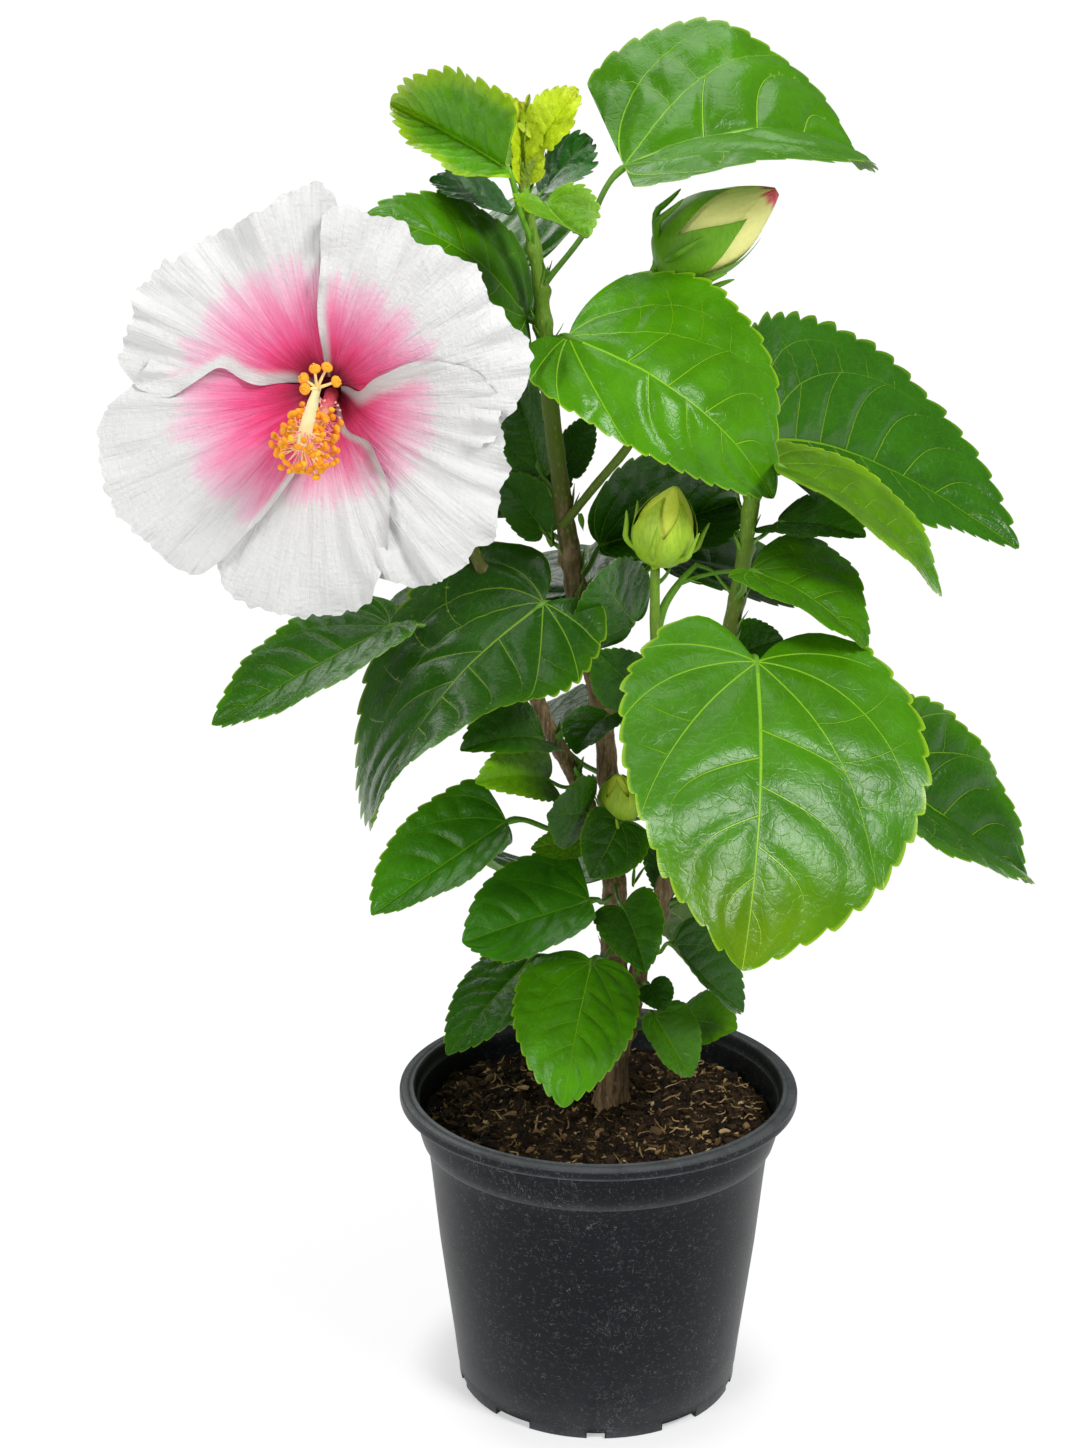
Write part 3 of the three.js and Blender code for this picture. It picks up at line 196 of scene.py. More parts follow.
def fractal(p, seed=0, octaves=4):
    p = np.asarray(p, float)
    out, a, n = 0, 1, 0
    for k in range(octaves):
        out = out + a * vnoise(p * 2**k, seed + k)
        n += a
        a *= 0.5
    return out / n


def stack(*parts):
    return np.stack(np.broadcast_arrays(*parts), axis=-1)


def srgb(r, g, b):
    c = np.array([r, g, b], float) / 255
    return np.where(c <= 0.04045, c / 12.92, ((c + 0.055) / 1.055) ** 2.4)


class Batch:
    """Verts, faces and per-vertex values of a piece, gathered from many small shapes."""

    def __init__(self):
        self.v, self.f, self.n = [], [], 0
        self.values = {}
        self.slots = []

    def add(self, verts, faces, mat=0, **values):
        verts = np.asarray(verts, float).reshape(-1, 3)
        count = len(verts)
        self.v.append(verts)
        self.f.extend([tuple(i + self.n for i in face) for face in faces])
        self.slots.extend([mat] * len(faces))
        for k, val in values.items():
            val = np.asarray(val, float)
            full = np.broadcast_to(val, (count,) + val.shape[1:]) if val.ndim and val.shape[0] == count else np.broadcast_to(val, (count,) + val.shape)
            self.values.setdefault(k, []).append(np.array(full))
        self.n += count

    def make(self, name, mats, replaces=(), flat=False, uv=None, sharp=None):
        me = bpy.data.meshes.new(name)
        me.from_pydata((np.concatenate(self.v) * 0.001).tolist(), [], self.f)
        me.update()
        for k, parts in self.values.items():
            data = np.concatenate(parts)
            if data.ndim == 2:
                a = me.color_attributes.new(k, "FLOAT_COLOR", "POINT")
                rgba = np.ones((len(data), 4))
                rgba[:, :3] = data
                a.data.foreach_set("color", rgba.ravel())
            else:
                a = me.attributes.new(k, "FLOAT", "POINT")
                a.data.foreach_set("value", data)
        me.polygons.foreach_set("use_smooth", [not flat] * len(me.polygons))
        me.polygons.foreach_set("material_index", self.slots)
        for m in mats:
            me.materials.append(m)
        if sharp is not None:  # sharp is a flag for each vertex; an edge between two flagged ones on the margin is sharp
            ev = np.empty(len(me.edges) * 2, np.int32)
            me.edges.foreach_get("vertices", ev)
            ev = ev.reshape(-1, 2)
            a = me.attributes.new("sharp_edge", "BOOLEAN", "EDGE")
            flags = sharp(ev)
            a.data.foreach_set("value", flags)
        if uv is not None:  # one (u, v) for each corner, given per face
            layer = me.uv_layers.new(name="OFBake")
            layer.data.foreach_set("uv", np.asarray(uv, float).ravel())
        me.validate()
        ob = bpy.data.objects.new(name, me)
        bpy.context.scene.collection.objects.link(ob)
        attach(ob, "root")
        if replaces:
            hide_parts(*replaces)
        return ob


def frames(path):
    """Tangent and two square directions along a path, without twist."""
    path = np.asarray(path, float)
    t = unit(np.gradient(path, axis=0))
    side = np.array([1.0, 0, 0]) if abs(t[0][0]) < 0.9 else np.array([0, 1.0, 0])
    out = []
    for k in range(len(path)):
        side = unit(side - t[k] * side.dot(t[k]))
        out.append((t[k], side, np.cross(t[k], side)))
    return out


def tube(path, radii, sides=10, caps=True):
    path = np.asarray(path, float)
    radii = np.broadcast_to(np.asarray(radii, float), (len(path),))
    a = np.linspace(0, 2 * math.pi, sides, endpoint=False)
    verts = []
    for (t, u, w), p, r in zip(frames(path), path, radii):
        verts.append(p + r * (np.cos(a)[:, None] * u + np.sin(a)[:, None] * w))
    n = len(path)
    faces = [(i * sides + k, i * sides + (k + 1) % sides, (i + 1) * sides + (k + 1) % sides, (i + 1) * sides + k) for i in range(n - 1) for k in range(sides)]
    verts = np.concatenate(verts)
    if caps:
        faces.append(tuple(range(sides - 1, -1, -1)))
        faces.append(tuple((n - 1) * sides + k for k in range(sides)))
    return verts, faces


def bezier(points, n):
    """A smooth line through a few points (Catmull-Rom), n points along it."""
    p = np.asarray(points, float)
    s = np.concatenate([[0], np.cumsum(np.linalg.norm(np.diff(p[:, :3], axis=0), axis=1))])
    x = np.linspace(0, s[-1], n)
    return np.stack([spline(np.stack([s, p[:, k]], 1), x) for k in range(p.shape[1])], 1)


def ball(centre, axis, size, rings=6, sides=8):
    """A small rounded bead: size is (half length along axis, radius)."""
    axis = unit(axis)
    side = unit(np.cross(axis, [0.3, 0.5, 0.81]))
    other = np.cross(axis, side)
    verts = [centre - axis * size[0]]
    for i in range(1, rings):
        e = -math.pi / 2 + math.pi * i / rings
        for k in range(sides):
            a = 2 * math.pi * k / sides
            verts.append(centre + axis * size[0] * math.sin(e) + size[1] * math.cos(e) * (side * math.cos(a) + other * math.sin(a)))
    verts.append(centre + axis * size[0])
    faces = [(0, 1 + (k + 1) % sides, 1 + k) for k in range(sides)]
    for i in range(rings - 2):
        for k in range(sides):
            a, b = 1 + i * sides + k, 1 + i * sides + (k + 1) % sides
            faces.append((a, b, b + sides, a + sides))
    last = len(verts) - 1
    o = 1 + (rings - 2) * sides
    faces += [(last, o + k, o + (k + 1) % sides) for k in range(sides)]
    return np.array(verts), faces


# --------------------------------------------------------------- materials
class S:
    """A value socket of a node tree, with arithmetic."""

    def __init__(self, nt, out):
        self.nt, self.out = nt, out

    def math(self, op, *others, clamp=False):
        n = self.nt.nodes.new("ShaderNodeMath")
        n.operation = op
        n.use_clamp = clamp
        for k, o in enumerate((self,) + others):
            if isinstance(o, S):
                self.nt.links.new(o.out, n.inputs[k])
            else:
                n.inputs[k].default_value = o
        return S(self.nt, n.outputs[0])

    def __add__(self, o):
        return self.math("ADD", o)

    def __sub__(self, o):
        return self.math("SUBTRACT", o)

    def __mul__(self, o):
        return self.math("MULTIPLY", o)

    def __truediv__(self, o):
        return self.math("DIVIDE", o)

    def abs(self):
        return self.math("ABSOLUTE")

    def min(self, o):
        return self.math("MINIMUM", o)

    def max(self, o):
        return self.math("MAXIMUM", o)

    def step(self, a, b):
        """0 below a, 1 above b, smooth between; falls if a is over b."""
        n = self.nt.nodes.new("ShaderNodeMapRange")
        n.interpolation_type = "SMOOTHSTEP"
        self.nt.links.new(self.out, n.inputs["Value"])
        lo, hi = (a, b) if a < b else (b, a)
        n.inputs["From Min"].default_value, n.inputs["From Max"].default_value = lo, hi
        n.inputs["To Min"].default_value, n.inputs["To Max"].default_value = (0, 1) if a < b else (1, 0)
        return S(self.nt, n.outputs["Result"])


class Look:
    def __init__(self, name, **constants):
        self.m = bpy.data.materials.new(name)
        self.m.use_nodes = True
        nt = self.nt = self.m.node_tree
        self.p = nt.nodes["Principled BSDF"]
        for k, v in constants.items():
            key = {"roughness": "Roughness", "specular": "Specular IOR Level", "coat": "Coat Weight", "coat_roughness": "Coat Roughness", "sheen": "Sheen Weight",
                   "sheen_roughness": "Sheen Roughness", "subsurface": "Subsurface Weight", "colour": "Base Color", "subsurface_scale": "Subsurface Scale"}[k]
            self.p.inputs[key].default_value = (*v, 1) if key == "Base Color" else v

    def attribute(self, name, colour=False):
        n = self.nt.nodes.new("ShaderNodeAttribute")
        n.attribute_name = name
        return n.outputs["Color"] if colour else S(self.nt, n.outputs["Fac"])

    def place(self):
        return self.nt.nodes.new("ShaderNodeTexCoord").outputs["Object"]

    def vector(self, x, y, z=0.0):
        n = self.nt.nodes.new("ShaderNodeCombineXYZ")
        for k, v in enumerate((x, y, z)):
            if isinstance(v, S):
                self.nt.links.new(v.out, n.inputs[k])
            else:
                n.inputs[k].default_value = v
        return n.outputs[0]

    def scaled(self, vec, x, y, z):
        n = self.nt.nodes.new("ShaderNodeVectorMath")
        n.operation = "MULTIPLY"
        self.nt.links.new(vec, n.inputs[0])
        n.inputs[1].default_value = (x, y, z)
        return n.outputs[0]

    def reach(self, vec):
        n = self.nt.nodes.new("ShaderNodeVectorMath")
        n.operation = "LENGTH"
        self.nt.links.new(vec, n.inputs[0])
        return S(self.nt, n.outputs["Value"])

    def noise(self, vec, scale, detail=3, rough=0.55, distortion=0):
        n = self.nt.nodes.new("ShaderNodeTexNoise")
        self.nt.links.new(vec, n.inputs["Vector"])
        n.inputs["Scale"].default_value, n.inputs["Detail"].default_value = scale, detail
        n.inputs["Roughness"].default_value, n.inputs["Distortion"].default_value = rough, distortion
        return S(self.nt, n.outputs["Fac"])

    def cells(self, vec, scale, feature="DISTANCE_TO_EDGE", randomness=1.0):
        n = self.nt.nodes.new("ShaderNodeTexVoronoi")
        n.feature = feature
        self.nt.links.new(vec, n.inputs["Vector"])
        n.inputs["Scale"].default_value = scale
        n.inputs["Randomness"].default_value = randomness
        return S(self.nt, n.outputs["Distance"])

    def mix(self, fac, a, b, kind="MIX"):
        n = self.nt.nodes.new("ShaderNodeMix")
        n.data_type, n.blend_type = "RGBA", kind
        n.clamp_factor = True
        for k, v in ((0, fac), (6, a), (7, b)):
            sock = n.inputs[k]
            if isinstance(v, S):
                self.nt.links.new(v.out, sock)
            elif isinstance(v, bpy.types.NodeSocket):
                self.nt.links.new(v, sock)
            elif k == 0:
                sock.default_value = v
            else:
                sock.default_value = (*v, 1)
        return n.outputs[2]

    def ramp(self, fac, stops):
        n = self.nt.nodes.new("ShaderNodeValToRGB")
        self.nt.links.new(fac.out, n.inputs[0])
        el = n.color_ramp.elements
        while len(el) < len(stops):
            el.new(0.5)
        for e, (pos, col) in zip(el, stops):
            e.position, e.color = pos, (*col, 1)
        return n.outputs["Color"]

    def colour(self, sock):
        self.nt.links.new(sock, self.p.inputs["Base Color"])

    def roughness(self, s):
        self.nt.links.new(s.out, self.p.inputs["Roughness"])

    def bump(self, height, distance, strength=1.0):
        """Relief of the given height field; distance is metres for a change of 1."""
        n = self.nt.nodes.new("ShaderNodeBump")
        n.inputs["Strength"].default_value, n.inputs["Distance"].default_value = strength, distance
        self.nt.links.new(height.out, n.inputs["Height"])
        self.nt.links.new(n.outputs[0], self.p.inputs["Normal"])


# -- leaves: the vein pattern is the same function for the mesh and the shader
PALMATE = [(49, 12, 2.3), (93, 33, 1.5), (122, 34, 0.75)]  # angle at the foot, bend per half width, reach in half widths
PINNATE = (0.52, 0.40)  # where the first side vein leaves the midrib, and the step to the next, in half widths
OUTER = (0.56, 0.30)  # the same for branches on the outer side of the first palmate vein


def veins_np(x, y, f, sign):
    """Distance to the nearest strong and fine vein, in half widths, for the mesh."""
    y = np.abs(y)
    r, th = np.hypot(x, y), np.degrees(np.arctan2(y, x))
    strong = y.copy()
    for a, c, reach in PALMATE:
        d = rad(np.abs(th - (a - c * r))) * r + np.maximum(0, r - reach) * 0.4
        strong = np.minimum(strong, d)
    inner = th < PALMATE[0][0] - PALMATE[0][1] * r
    s = x - 0.34 * f - 0.5 * f**4
    t = (s - PINNATE[0]) / PINNATE[1] - np.where(sign < 0, 0.5, 0)
    fine = np.where(inner & (t > -0.5), np.abs(t - np.round(t)) * PINNATE[1] * 0.8, 1)
    t2 = (r - 0.3 * (th - PALMATE[0][0] + PALMATE[0][1] * r) / 40 - OUTER[0]) / OUTER[1] - np.where(sign < 0, 0.4, 0)
    fine = np.minimum(fine, np.where(~inner & (t2 > -0.5), np.abs(t2 - np.round(t2)) * OUTER[1] * 0.9, 1))
    return strong, fine


def leaf_looks(name, under, gloss=0.28):
    look = Look(name, specular=0.235 if not under else 0.16)
    x, sy, sf = look.attribute("lx"), look.attribute("ly"), look.attribute("lf")
    seed = look.attribute("seed")
    y, f = sy.abs(), sf.abs()
    side = sy.step(-0.0005, 0.0005)  # 1 on the + side
    r = (x * x + y * y).math("SQRT")
    th = y.math("ARCTAN2", x) * (180 / math.pi)
    thin = x.step(2.4, 0)  # veins thin out towards the tip
    strong = (y / (thin * 0.0115 + 0.0045)).step(1.0, 0.45)
    for a, c, reach in PALMATE:
        d = (th - (r * -c + a)).abs() * (math.pi / 180) * r
        k = (d / (r.step(1.8, 0.1) * 0.0062 + 0.0026)).step(1.0, 0.4) * r.step(reach * 1.15, reach * 0.75)
        strong = strong.max(k)
    off = r * -PALMATE[0][1] + PALMATE[0][0]
    inner = (th - off).step(0.6, -0.6)
    t = ((x - f * 0.34 - (f * f * f * f) * 0.5) - PINNATE[0]) / PINNATE[1] - (side * -0.5 + 0.5)
    fine = (t.math("PINGPONG", 0.5) * (PINNATE[1] * 0.8) / (f.step(0.9, 0.0) * 0.0050 + 0.0032)).step(1.0, 0.35) * inner * t.step(-0.45, -0.4) * f.step(0.93, 0.7)
    t2 = (r - (th - off) * (0.3 / 40) - OUTER[0]) / OUTER[1] - (side * -0.4 + 0.4)
    fine2 = (t2.math("PINGPONG", 0.5) * (OUTER[1] * 0.9) / 0.0045).step(1.0, 0.35) * (inner * -1 + 1) * t2.step(-0.45, -0.4) * f.step(0.93, 0.7)
    fine = fine.max(fine2)
    flat = look.vector(x, sy, seed * 7.0)
    wob = look.noise(flat, 5.5, 3, 0.6)
    net = look.cells(look.vector(x + wob * 0.12, sy + wob * 0.09, seed * 7.0), 11.0).step(0.0, 0.09)
    net2 = look.cells(flat, 34.0).step(0.0, 0.12)
    tone = look.attribute("tone", colour=True)
    blotch = look.noise(flat, 2.2, 4, 0.6)
    dark = look.mix(0.26, tone, (0.0, 0.010, 0.0), "MIX")
    base = look.mix(blotch.step(0.3, 0.72), dark, tone)
    base = look.mix((net * -1 + 1) * (0.035 if not under else 0.12), base, srgb(140, 190, 30))
    ruck = look.noise(look.vector(x * 1.0 + wob * 0.5, sy * 1.0, seed * 3.0 + 2.0), 13.0, 4, 0.62)
    crease = look.noise(look.vector(x * 1.0 + wob * 0.2, sy * 1.0, seed * 5.0 + 4.0), 38.0, 3, 0.6)
    if under:
        base = look.mix(0.5, base, srgb(128, 160, 84))
        base = look.mix(strong.max(fine * 0.8) * 0.75, base, srgb(176, 196, 110))
        rough = wob * 0.1 + 0.5
        height = strong * 0.9 + fine * 0.55 - net * 0.25
    else:
        vein = look.mix(0.34, look.mix(1.0, tone, (1.9, 1.75, 1.6), "MULTIPLY"), srgb(176, 208, 44))
        base = look.mix(fine * 0.85, base, vein)
        base = look.mix(strong * 0.85, base, vein)
        rough = (wob - 0.5) * 0.16 + (ruck - 0.5) * 0.12 + (gloss + 0.0)
        rough = rough + (strong * 0.1)
        height = strong * 0.2 - fine * 0.5 + net * 0.045 + net2 * 0.01 + wob * 0.7 + ruck * 0.12 + crease * 0.03
    base = look.mix(f.step(0.972, 0.997) * look.attribute("rimlit") * 0.8, base, srgb(168, 204, 40))
    look.colour(base)
    look.roughness(rough)
    look.bump(height, 0.0009 if not under else 0.0007, 0.9)
    return look.m


LEAF_TOP = leaf_looks("leaf_top", False)
LEAF_UNDER = leaf_looks("leaf_underside", True)


def twig_look(name, colours, bump=0.00012, rough=0.5):
    """Green or woody stem skin: fine lengthwise grain over a base colour that the mesh carries."""
    look = Look(name, specular=0.35)
    p = look.place()
    grain = look.noise(look.scaled(p, 1, 1, 0.25), 900, 4, 0.65)
    mottle = look.noise(p, 160, 4, 0.6)
    tone = look.attribute("tone", colour=True)
    base = look.mix(grain.step(0.35, 0.7) * 0.35, tone, colours[0])
    base = look.mix(mottle.step(0.55, 0.8) * 0.3, base, colours[1])
    look.colour(base)
    look.roughness(grain * 0.2 + (rough - 0.1))
    look.bump(grain + mottle * 0.4, bump, 1.0)
    return look.m


STALK = twig_look("leaf_stalk", (srgb(64, 104, 26), srgb(150, 176, 74)), 0.00008, 0.45)


def bark_look():
    look = Look("bark", specular=0.25)
    p = look.place()
    age = look.attribute("age")
    tone = look.attribute("tone", colour=True)
    fibre = look.noise(look.scaled(p, 1, 1, 0.12), 620, 6, 0.7)
    fine = look.noise(look.scaled(p, 1, 1, 0.3), 1900, 4, 0.7)
    mottle = look.noise(p, 120, 5, 0.65)
    pores = look.cells(look.scaled(p, 1, 1, 0.5), 420, "F1").step(0.26, 0.1)
    brown = look.mix(fibre.step(0.35, 0.68), srgb(84, 66, 44), srgb(156, 130, 94))
    brown = look.mix(mottle.step(0.45, 0.8) * 0.55, brown, srgb(172, 152, 118))
    brown = look.mix(fine.step(0.6, 0.78) * 0.5, brown, srgb(38, 27, 22))
    brown = look.mix(pores * 0.55, brown, srgb(172, 150, 120))
    green = look.mix(fine.step(0.35, 0.7) * 0.4, tone, srgb(60, 88, 30))
    green = look.mix(pores * 0.35, green, srgb(168, 178, 96))
    patch = (age + (mottle - 0.5) * 0.9 + (fibre - 0.5) * 0.5).step(0.3, 0.62)
    look.colour(look.mix(patch, green, brown))
    look.roughness(patch * 0.3 + 0.45)
    look.bump(fibre * 1.0 + fine * 0.5 + pores * 0.4, 0.00035, 0.9)
    return look.m


BARK = bark_look()


# ------------------------------------------------------------------ leaves
def stem_at(name, z):
    rows = STEMS[name]
    i = 0
    while i < len(rows) - 2 and rows[i + 1][2] < z:
        i += 1
    k = (z - rows[i][2]) / (rows[i + 1][2] - rows[i][2])
    return np.array([a + (b - a) * k for a, b in zip(rows[i], rows[i + 1])])


def outline_at(u):
    n = len(LEAF_OUTLINE)
    o = np.array(LEAF_OUTLINE, float)
    o = np.vstack([2 * o[0] - o[1], o, 2 * o[-1] - o[-2]])
    s = np.asarray(u) * (n - 1)
    i = np.minimum(s.astype(int), n - 2)
    t = (s - i)[:, None]
    a, b, c, d = o[i], o[i + 1], o[i + 2], o[i + 3]
    return 0.5 * (2 * b + (c - a) * t + (2 * a - 5 * b + 4 * c - d) * t * t + (3 * b - a - 3 * c + d) * t**3)


def blade_surface(base, blade, pose):
    az, el, length, width = blade
    roll, fold, arch, sweep, twist, lobe, asym, skew = pose
    d = heading(az, el)
    up = unit(Z - d * d[2])
    side = np.cross(up, d)

    def turned(deg):
        deg = rad(np.asarray(deg, float))[..., None]
        return up * np.cos(deg) + side * np.sin(deg)

    n0 = turned(roll)
    s0 = np.cross(n0, d)

    def at(x, y):
        q = np.clip(x, 0, 1)
        back = np.minimum(x, 0) * lobe * (1 + skew * np.sign(y)) * length
        across = y * width * (1 + np.where(y > 0, asym, -asym)) / 2
        slope = (4 * (1 - 2 * q))[..., None]
        t = unit(d + n0 * slope * arch + s0 * slope * sweep)
        n = turned(roll + twist * (q - 0.5))
        n = unit(n - t * (n * t).sum(-1, keepdims=True))
        s = np.cross(n, t)
        crease = np.sqrt(across**2 + 0.5) - 0.707
        lift = crease * math.sin(rad(fold)) - 0.05 * across**2 / (width / 2)
        hump = (4 * q * (1 - q))[..., None]
        p = base + d * (q * length)[..., None] + n0 * hump * arch * length + s0 * hump * sweep * length
        p = p + t * back[..., None] + s * (across * math.cos(rad(fold)))[..., None] + n * lift[..., None]
        tilt = rad(fold) * np.sign(y) * np.minimum(1, np.abs(across) / 1.5)
        normal = unit(n * np.cos(tilt)[..., None] - s * np.sin(tilt)[..., None])
        return p, normal

    return at


def leaf_mesh(base, blade, pose, style, rng, seed):
    """Arrays of one blade: an upper and a lower skin that meet along the toothed margin."""
    az, el, length, width = blade
    lobe, asym = pose[5], pose[6]
    big = length > 48
    teeth = style.get("teeth", int(round(9 + length / 16)))
    half = width / 2
    u = np.linspace(0, 1, 1200)
    line = outline_at(u)
    xy = np.stack([np.where(line[:, 0] < 0, line[:, 0] * lobe, line[:, 0]) * length, line[:, 1] * half], 1)
    s = np.concatenate([[0], np.cumsum(np.linalg.norm(np.diff(xy, axis=0), axis=1))])
    s /= s[-1]
    first = 0.2
    steps = (0, 0.2, 0.42, 0.62, 0.78, 0.9) if big else (0, 0.3, 0.6, 0.85)
    stations = list(np.linspace(0, first, 9 if big else 6, endpoint=False))
    for k in range(teeth):
        stations += [first + (1 - first) * (k + q) / teeth for q in steps]
    stations = np.array(stations + [1.0])
    cols = np.array([0, 0.022, 0.06, 0.12, 0.19, 0.27, 0.36, 0.45, 0.54, 0.63, 0.72, 0.81, 0.89, 0.955, 1]) if big else np.array([0, 0.035, 0.1, 0.2, 0.33, 0.47, 0.62, 0.78, 0.91, 1])
    rows, J = len(stations), len(cols)
    surface = blade_surface(base, blade, pose)
    depth = style.get("tooth", 0.0235 * length ** 0.95)
    wave = style.get("wave", 0.022) * half
    quilt = style.get("quilt", 0.034) * half
    X, Y, F, keys = [], [], [], []
    spots = {}
    index = {}
    P = []
    for sign in (1, -1):
        sizes = np.array([0.75 + 0.5 * rng.random() for _ in range(teeth + 1)])
        uu = np.interp(stations, s, u)
        m = outline_at(uu)
        du = outline_at(np.clip(uu + 1e-3, 0, 1)) - outline_at(np.clip(uu - 1e-3, 0, 1))
        tan = unit(np.stack([du[:, 0] * length, du[:, 1] * half], 1))
        out = np.stack([-tan[:, 1], tan[:, 0]], 1)
        ph = np.clip((stations - first) / (1 - first) * teeth, 0, None)
        k = np.minimum(ph.astype(int), teeth)
        q = ph - k
        saw = np.where(q < 0.84, np.sin(np.clip(q / 0.84, 0, 1) * 1.75) ** 0.9, 0.98 * (1 - q) / 0.16) * smooth(stations, first * 0.8, first + 0.1) * (1 - 0.75 * smooth(stations, 0.93, 1.0))
        saw = saw * sizes[k] * depth
        off = out * saw[:, None] + tan * (saw * 0.45)[:, None]
        off[-1] = 0
        off[0] = 0
        root = np.maximum(0, (uu - 0.34) / 0.66) ** 1.15
        ids = np.zeros((rows, J), int)
        for i in range(rows):
            for j in range(J):
                f = cols[j]
                wf = 1.0 if j == J - 1 else (0.35 if j == J - 2 else 0)
                x = root[i] + (m[i, 0] - root[i]) * f + off[i, 0] * wf / length
                y = (m[i, 1] * f + off[i, 1] * wf / half) * sign
                if i == rows - 1:
                    x, y = 1.0, 0.0
                if j == 0:
                    y = 0.0
                key = (round(x, 6), round(y, 6))
                if key not in spots:
                    spots[key] = len(P)
                    P.append((x, y, f * sign if i < rows - 1 else 0.99 * sign, stations[i], 1 if (j == J - 1 or i == rows - 1) else 0, sign))
                ids[i, j] = spots[key]
        index[sign] = ids
    P = np.array(P)
    x, y, f, st, edge, sg = P.T
    mx = np.where(x < 0, x * lobe * (1 + pose[7] * np.sign(y)), x) * length / half
    my = y * (1 + np.where(y > 0, asym, -asym))
    strong, fine = veins_np(mx, my, np.abs(f), sg)
    near = np.minimum(strong * 1.0, fine * 1.3 + 0.012)
    puff = 1 - np.exp(-((near / 0.075) ** 2))
    point, normal = surface(x, y)
    af = np.abs(f)
    ripple = wave * af**2.2 * (np.sin(2 * math.pi * (st * style.get("waves", 3.2) + (0.35 if seed % 2 else 0.8) + np.where(y > 0, 0.0, 0.31))) + 0.6 * vnoise(stack(st * 9, np.where(y > 0, 0.0, 5.0), seed * 1.0), seed))
    ripple = ripple * smooth(1 - st, 0.0, 0.12)
    blister = 0.35 * quilt * fractal(stack(mx * 3.1, my * 3.1, seed * 1.7), seed, 3) * smooth(1 - af, 0, 0.1)
    lift = ripple + quilt * (puff - 0.5) * smooth(1 - af, 0.0, 0.14) * smooth(np.hypot(mx, my), 0.02, 0.25) + blister
    if "curl" in style:  # a side of the blade rolled back: (side, from station, to station, height)
        cs, ca, cb, ch = style["curl"]
        k = np.where(y * cs > 0, 1, 0) * smooth(st, ca, (ca + cb) / 2) * smooth(cb - st, 0, (cb - ca) / 3) * smooth(af, 0.4, 1.0)
        lift = lift + k * ch
    top = point + normal * lift[:, None]
    thick = 0.38 * (1 - edge)
    rib = np.where(strong < 0.03, (1 - strong / 0.03), 0) * 0.55 * (length / 90) * (1 - 0.6 * np.clip(mx / 2.2, 0, 1)) + np.where(fine < 0.02, 0.14, 0)
    low = top - normal * (thick + rib * (1 - edge) * smooth(1 - af, 0, 0.2))[:, None]
    inside = np.where(edge < 0.5)[0]
    lower_id = np.arange(len(P))
    lower_id[inside] = len(P) + np.arange(len(inside))
    verts = np.vstack([top, low[inside]])
    faces, slots, uvs = [], [], []
    lo_x, hi_x, hy = mx.min() - 0.03, mx.max() + 0.03, np.abs(my).max() + 0.03
    uv_top = np.stack([0.25 + 0.235 * my / hy, 0.01 + 0.98 * (mx - lo_x) / (hi_x - lo_x)], 1)
    uv_low = uv_top + np.array([0.5, 0])
    for sign, ids in index.items():
        for i in range(rows - 1):
            for j in range(J - 1):
                quad = [ids[i, j], ids[i + 1, j], ids[i + 1, j + 1], ids[i, j + 1]]
                clean = [v for n, v in enumerate(quad) if v != quad[n - 1]]
                clean = list(dict.fromkeys(clean))
                if len(clean) < 3:
                    continue
                if sign < 0:
                    clean.reverse()
                faces.append(tuple(clean))
                slots.append(0)
                uvs.extend(uv_top[v] for v in clean)
                back = [lower_id[v] for v in reversed(clean)]
                faces.append(tuple(back))
                slots.append(1)
                uvs.extend(uv_low[v] for v in reversed(clean))
    values = {"lx": mx, "ly": my, "lf": f}
    full = {k: np.concatenate([v, v[inside]]) for k, v in values.items()}
    full["seed"] = np.full(len(verts), seed * 0.37 % 5)
    full["rimlit"] = np.full(len(verts), style.get("rim", 0.35))
    a = np.array(style["colour"], float)
    b = np.array(style.get("tip", style["colour"]), float)
    c = np.array(style.get("edge_colour", style["colour"]), float)
    k = smooth(x, 0.55, 1.0)[:, None]
    tone = a * (1 - k) + b * k
    ke = (smooth(af, 0.7, 1.0) * style.get("edge_mix", 0.25))[:, None]
    tone = tone * (1 - ke) + c * ke
    full["tone"] = np.concatenate([tone, tone[inside]])
    marked = np.concatenate([edge, np.zeros(len(inside))]) > 0.5
    return verts, faces, slots, uvs, full, marked


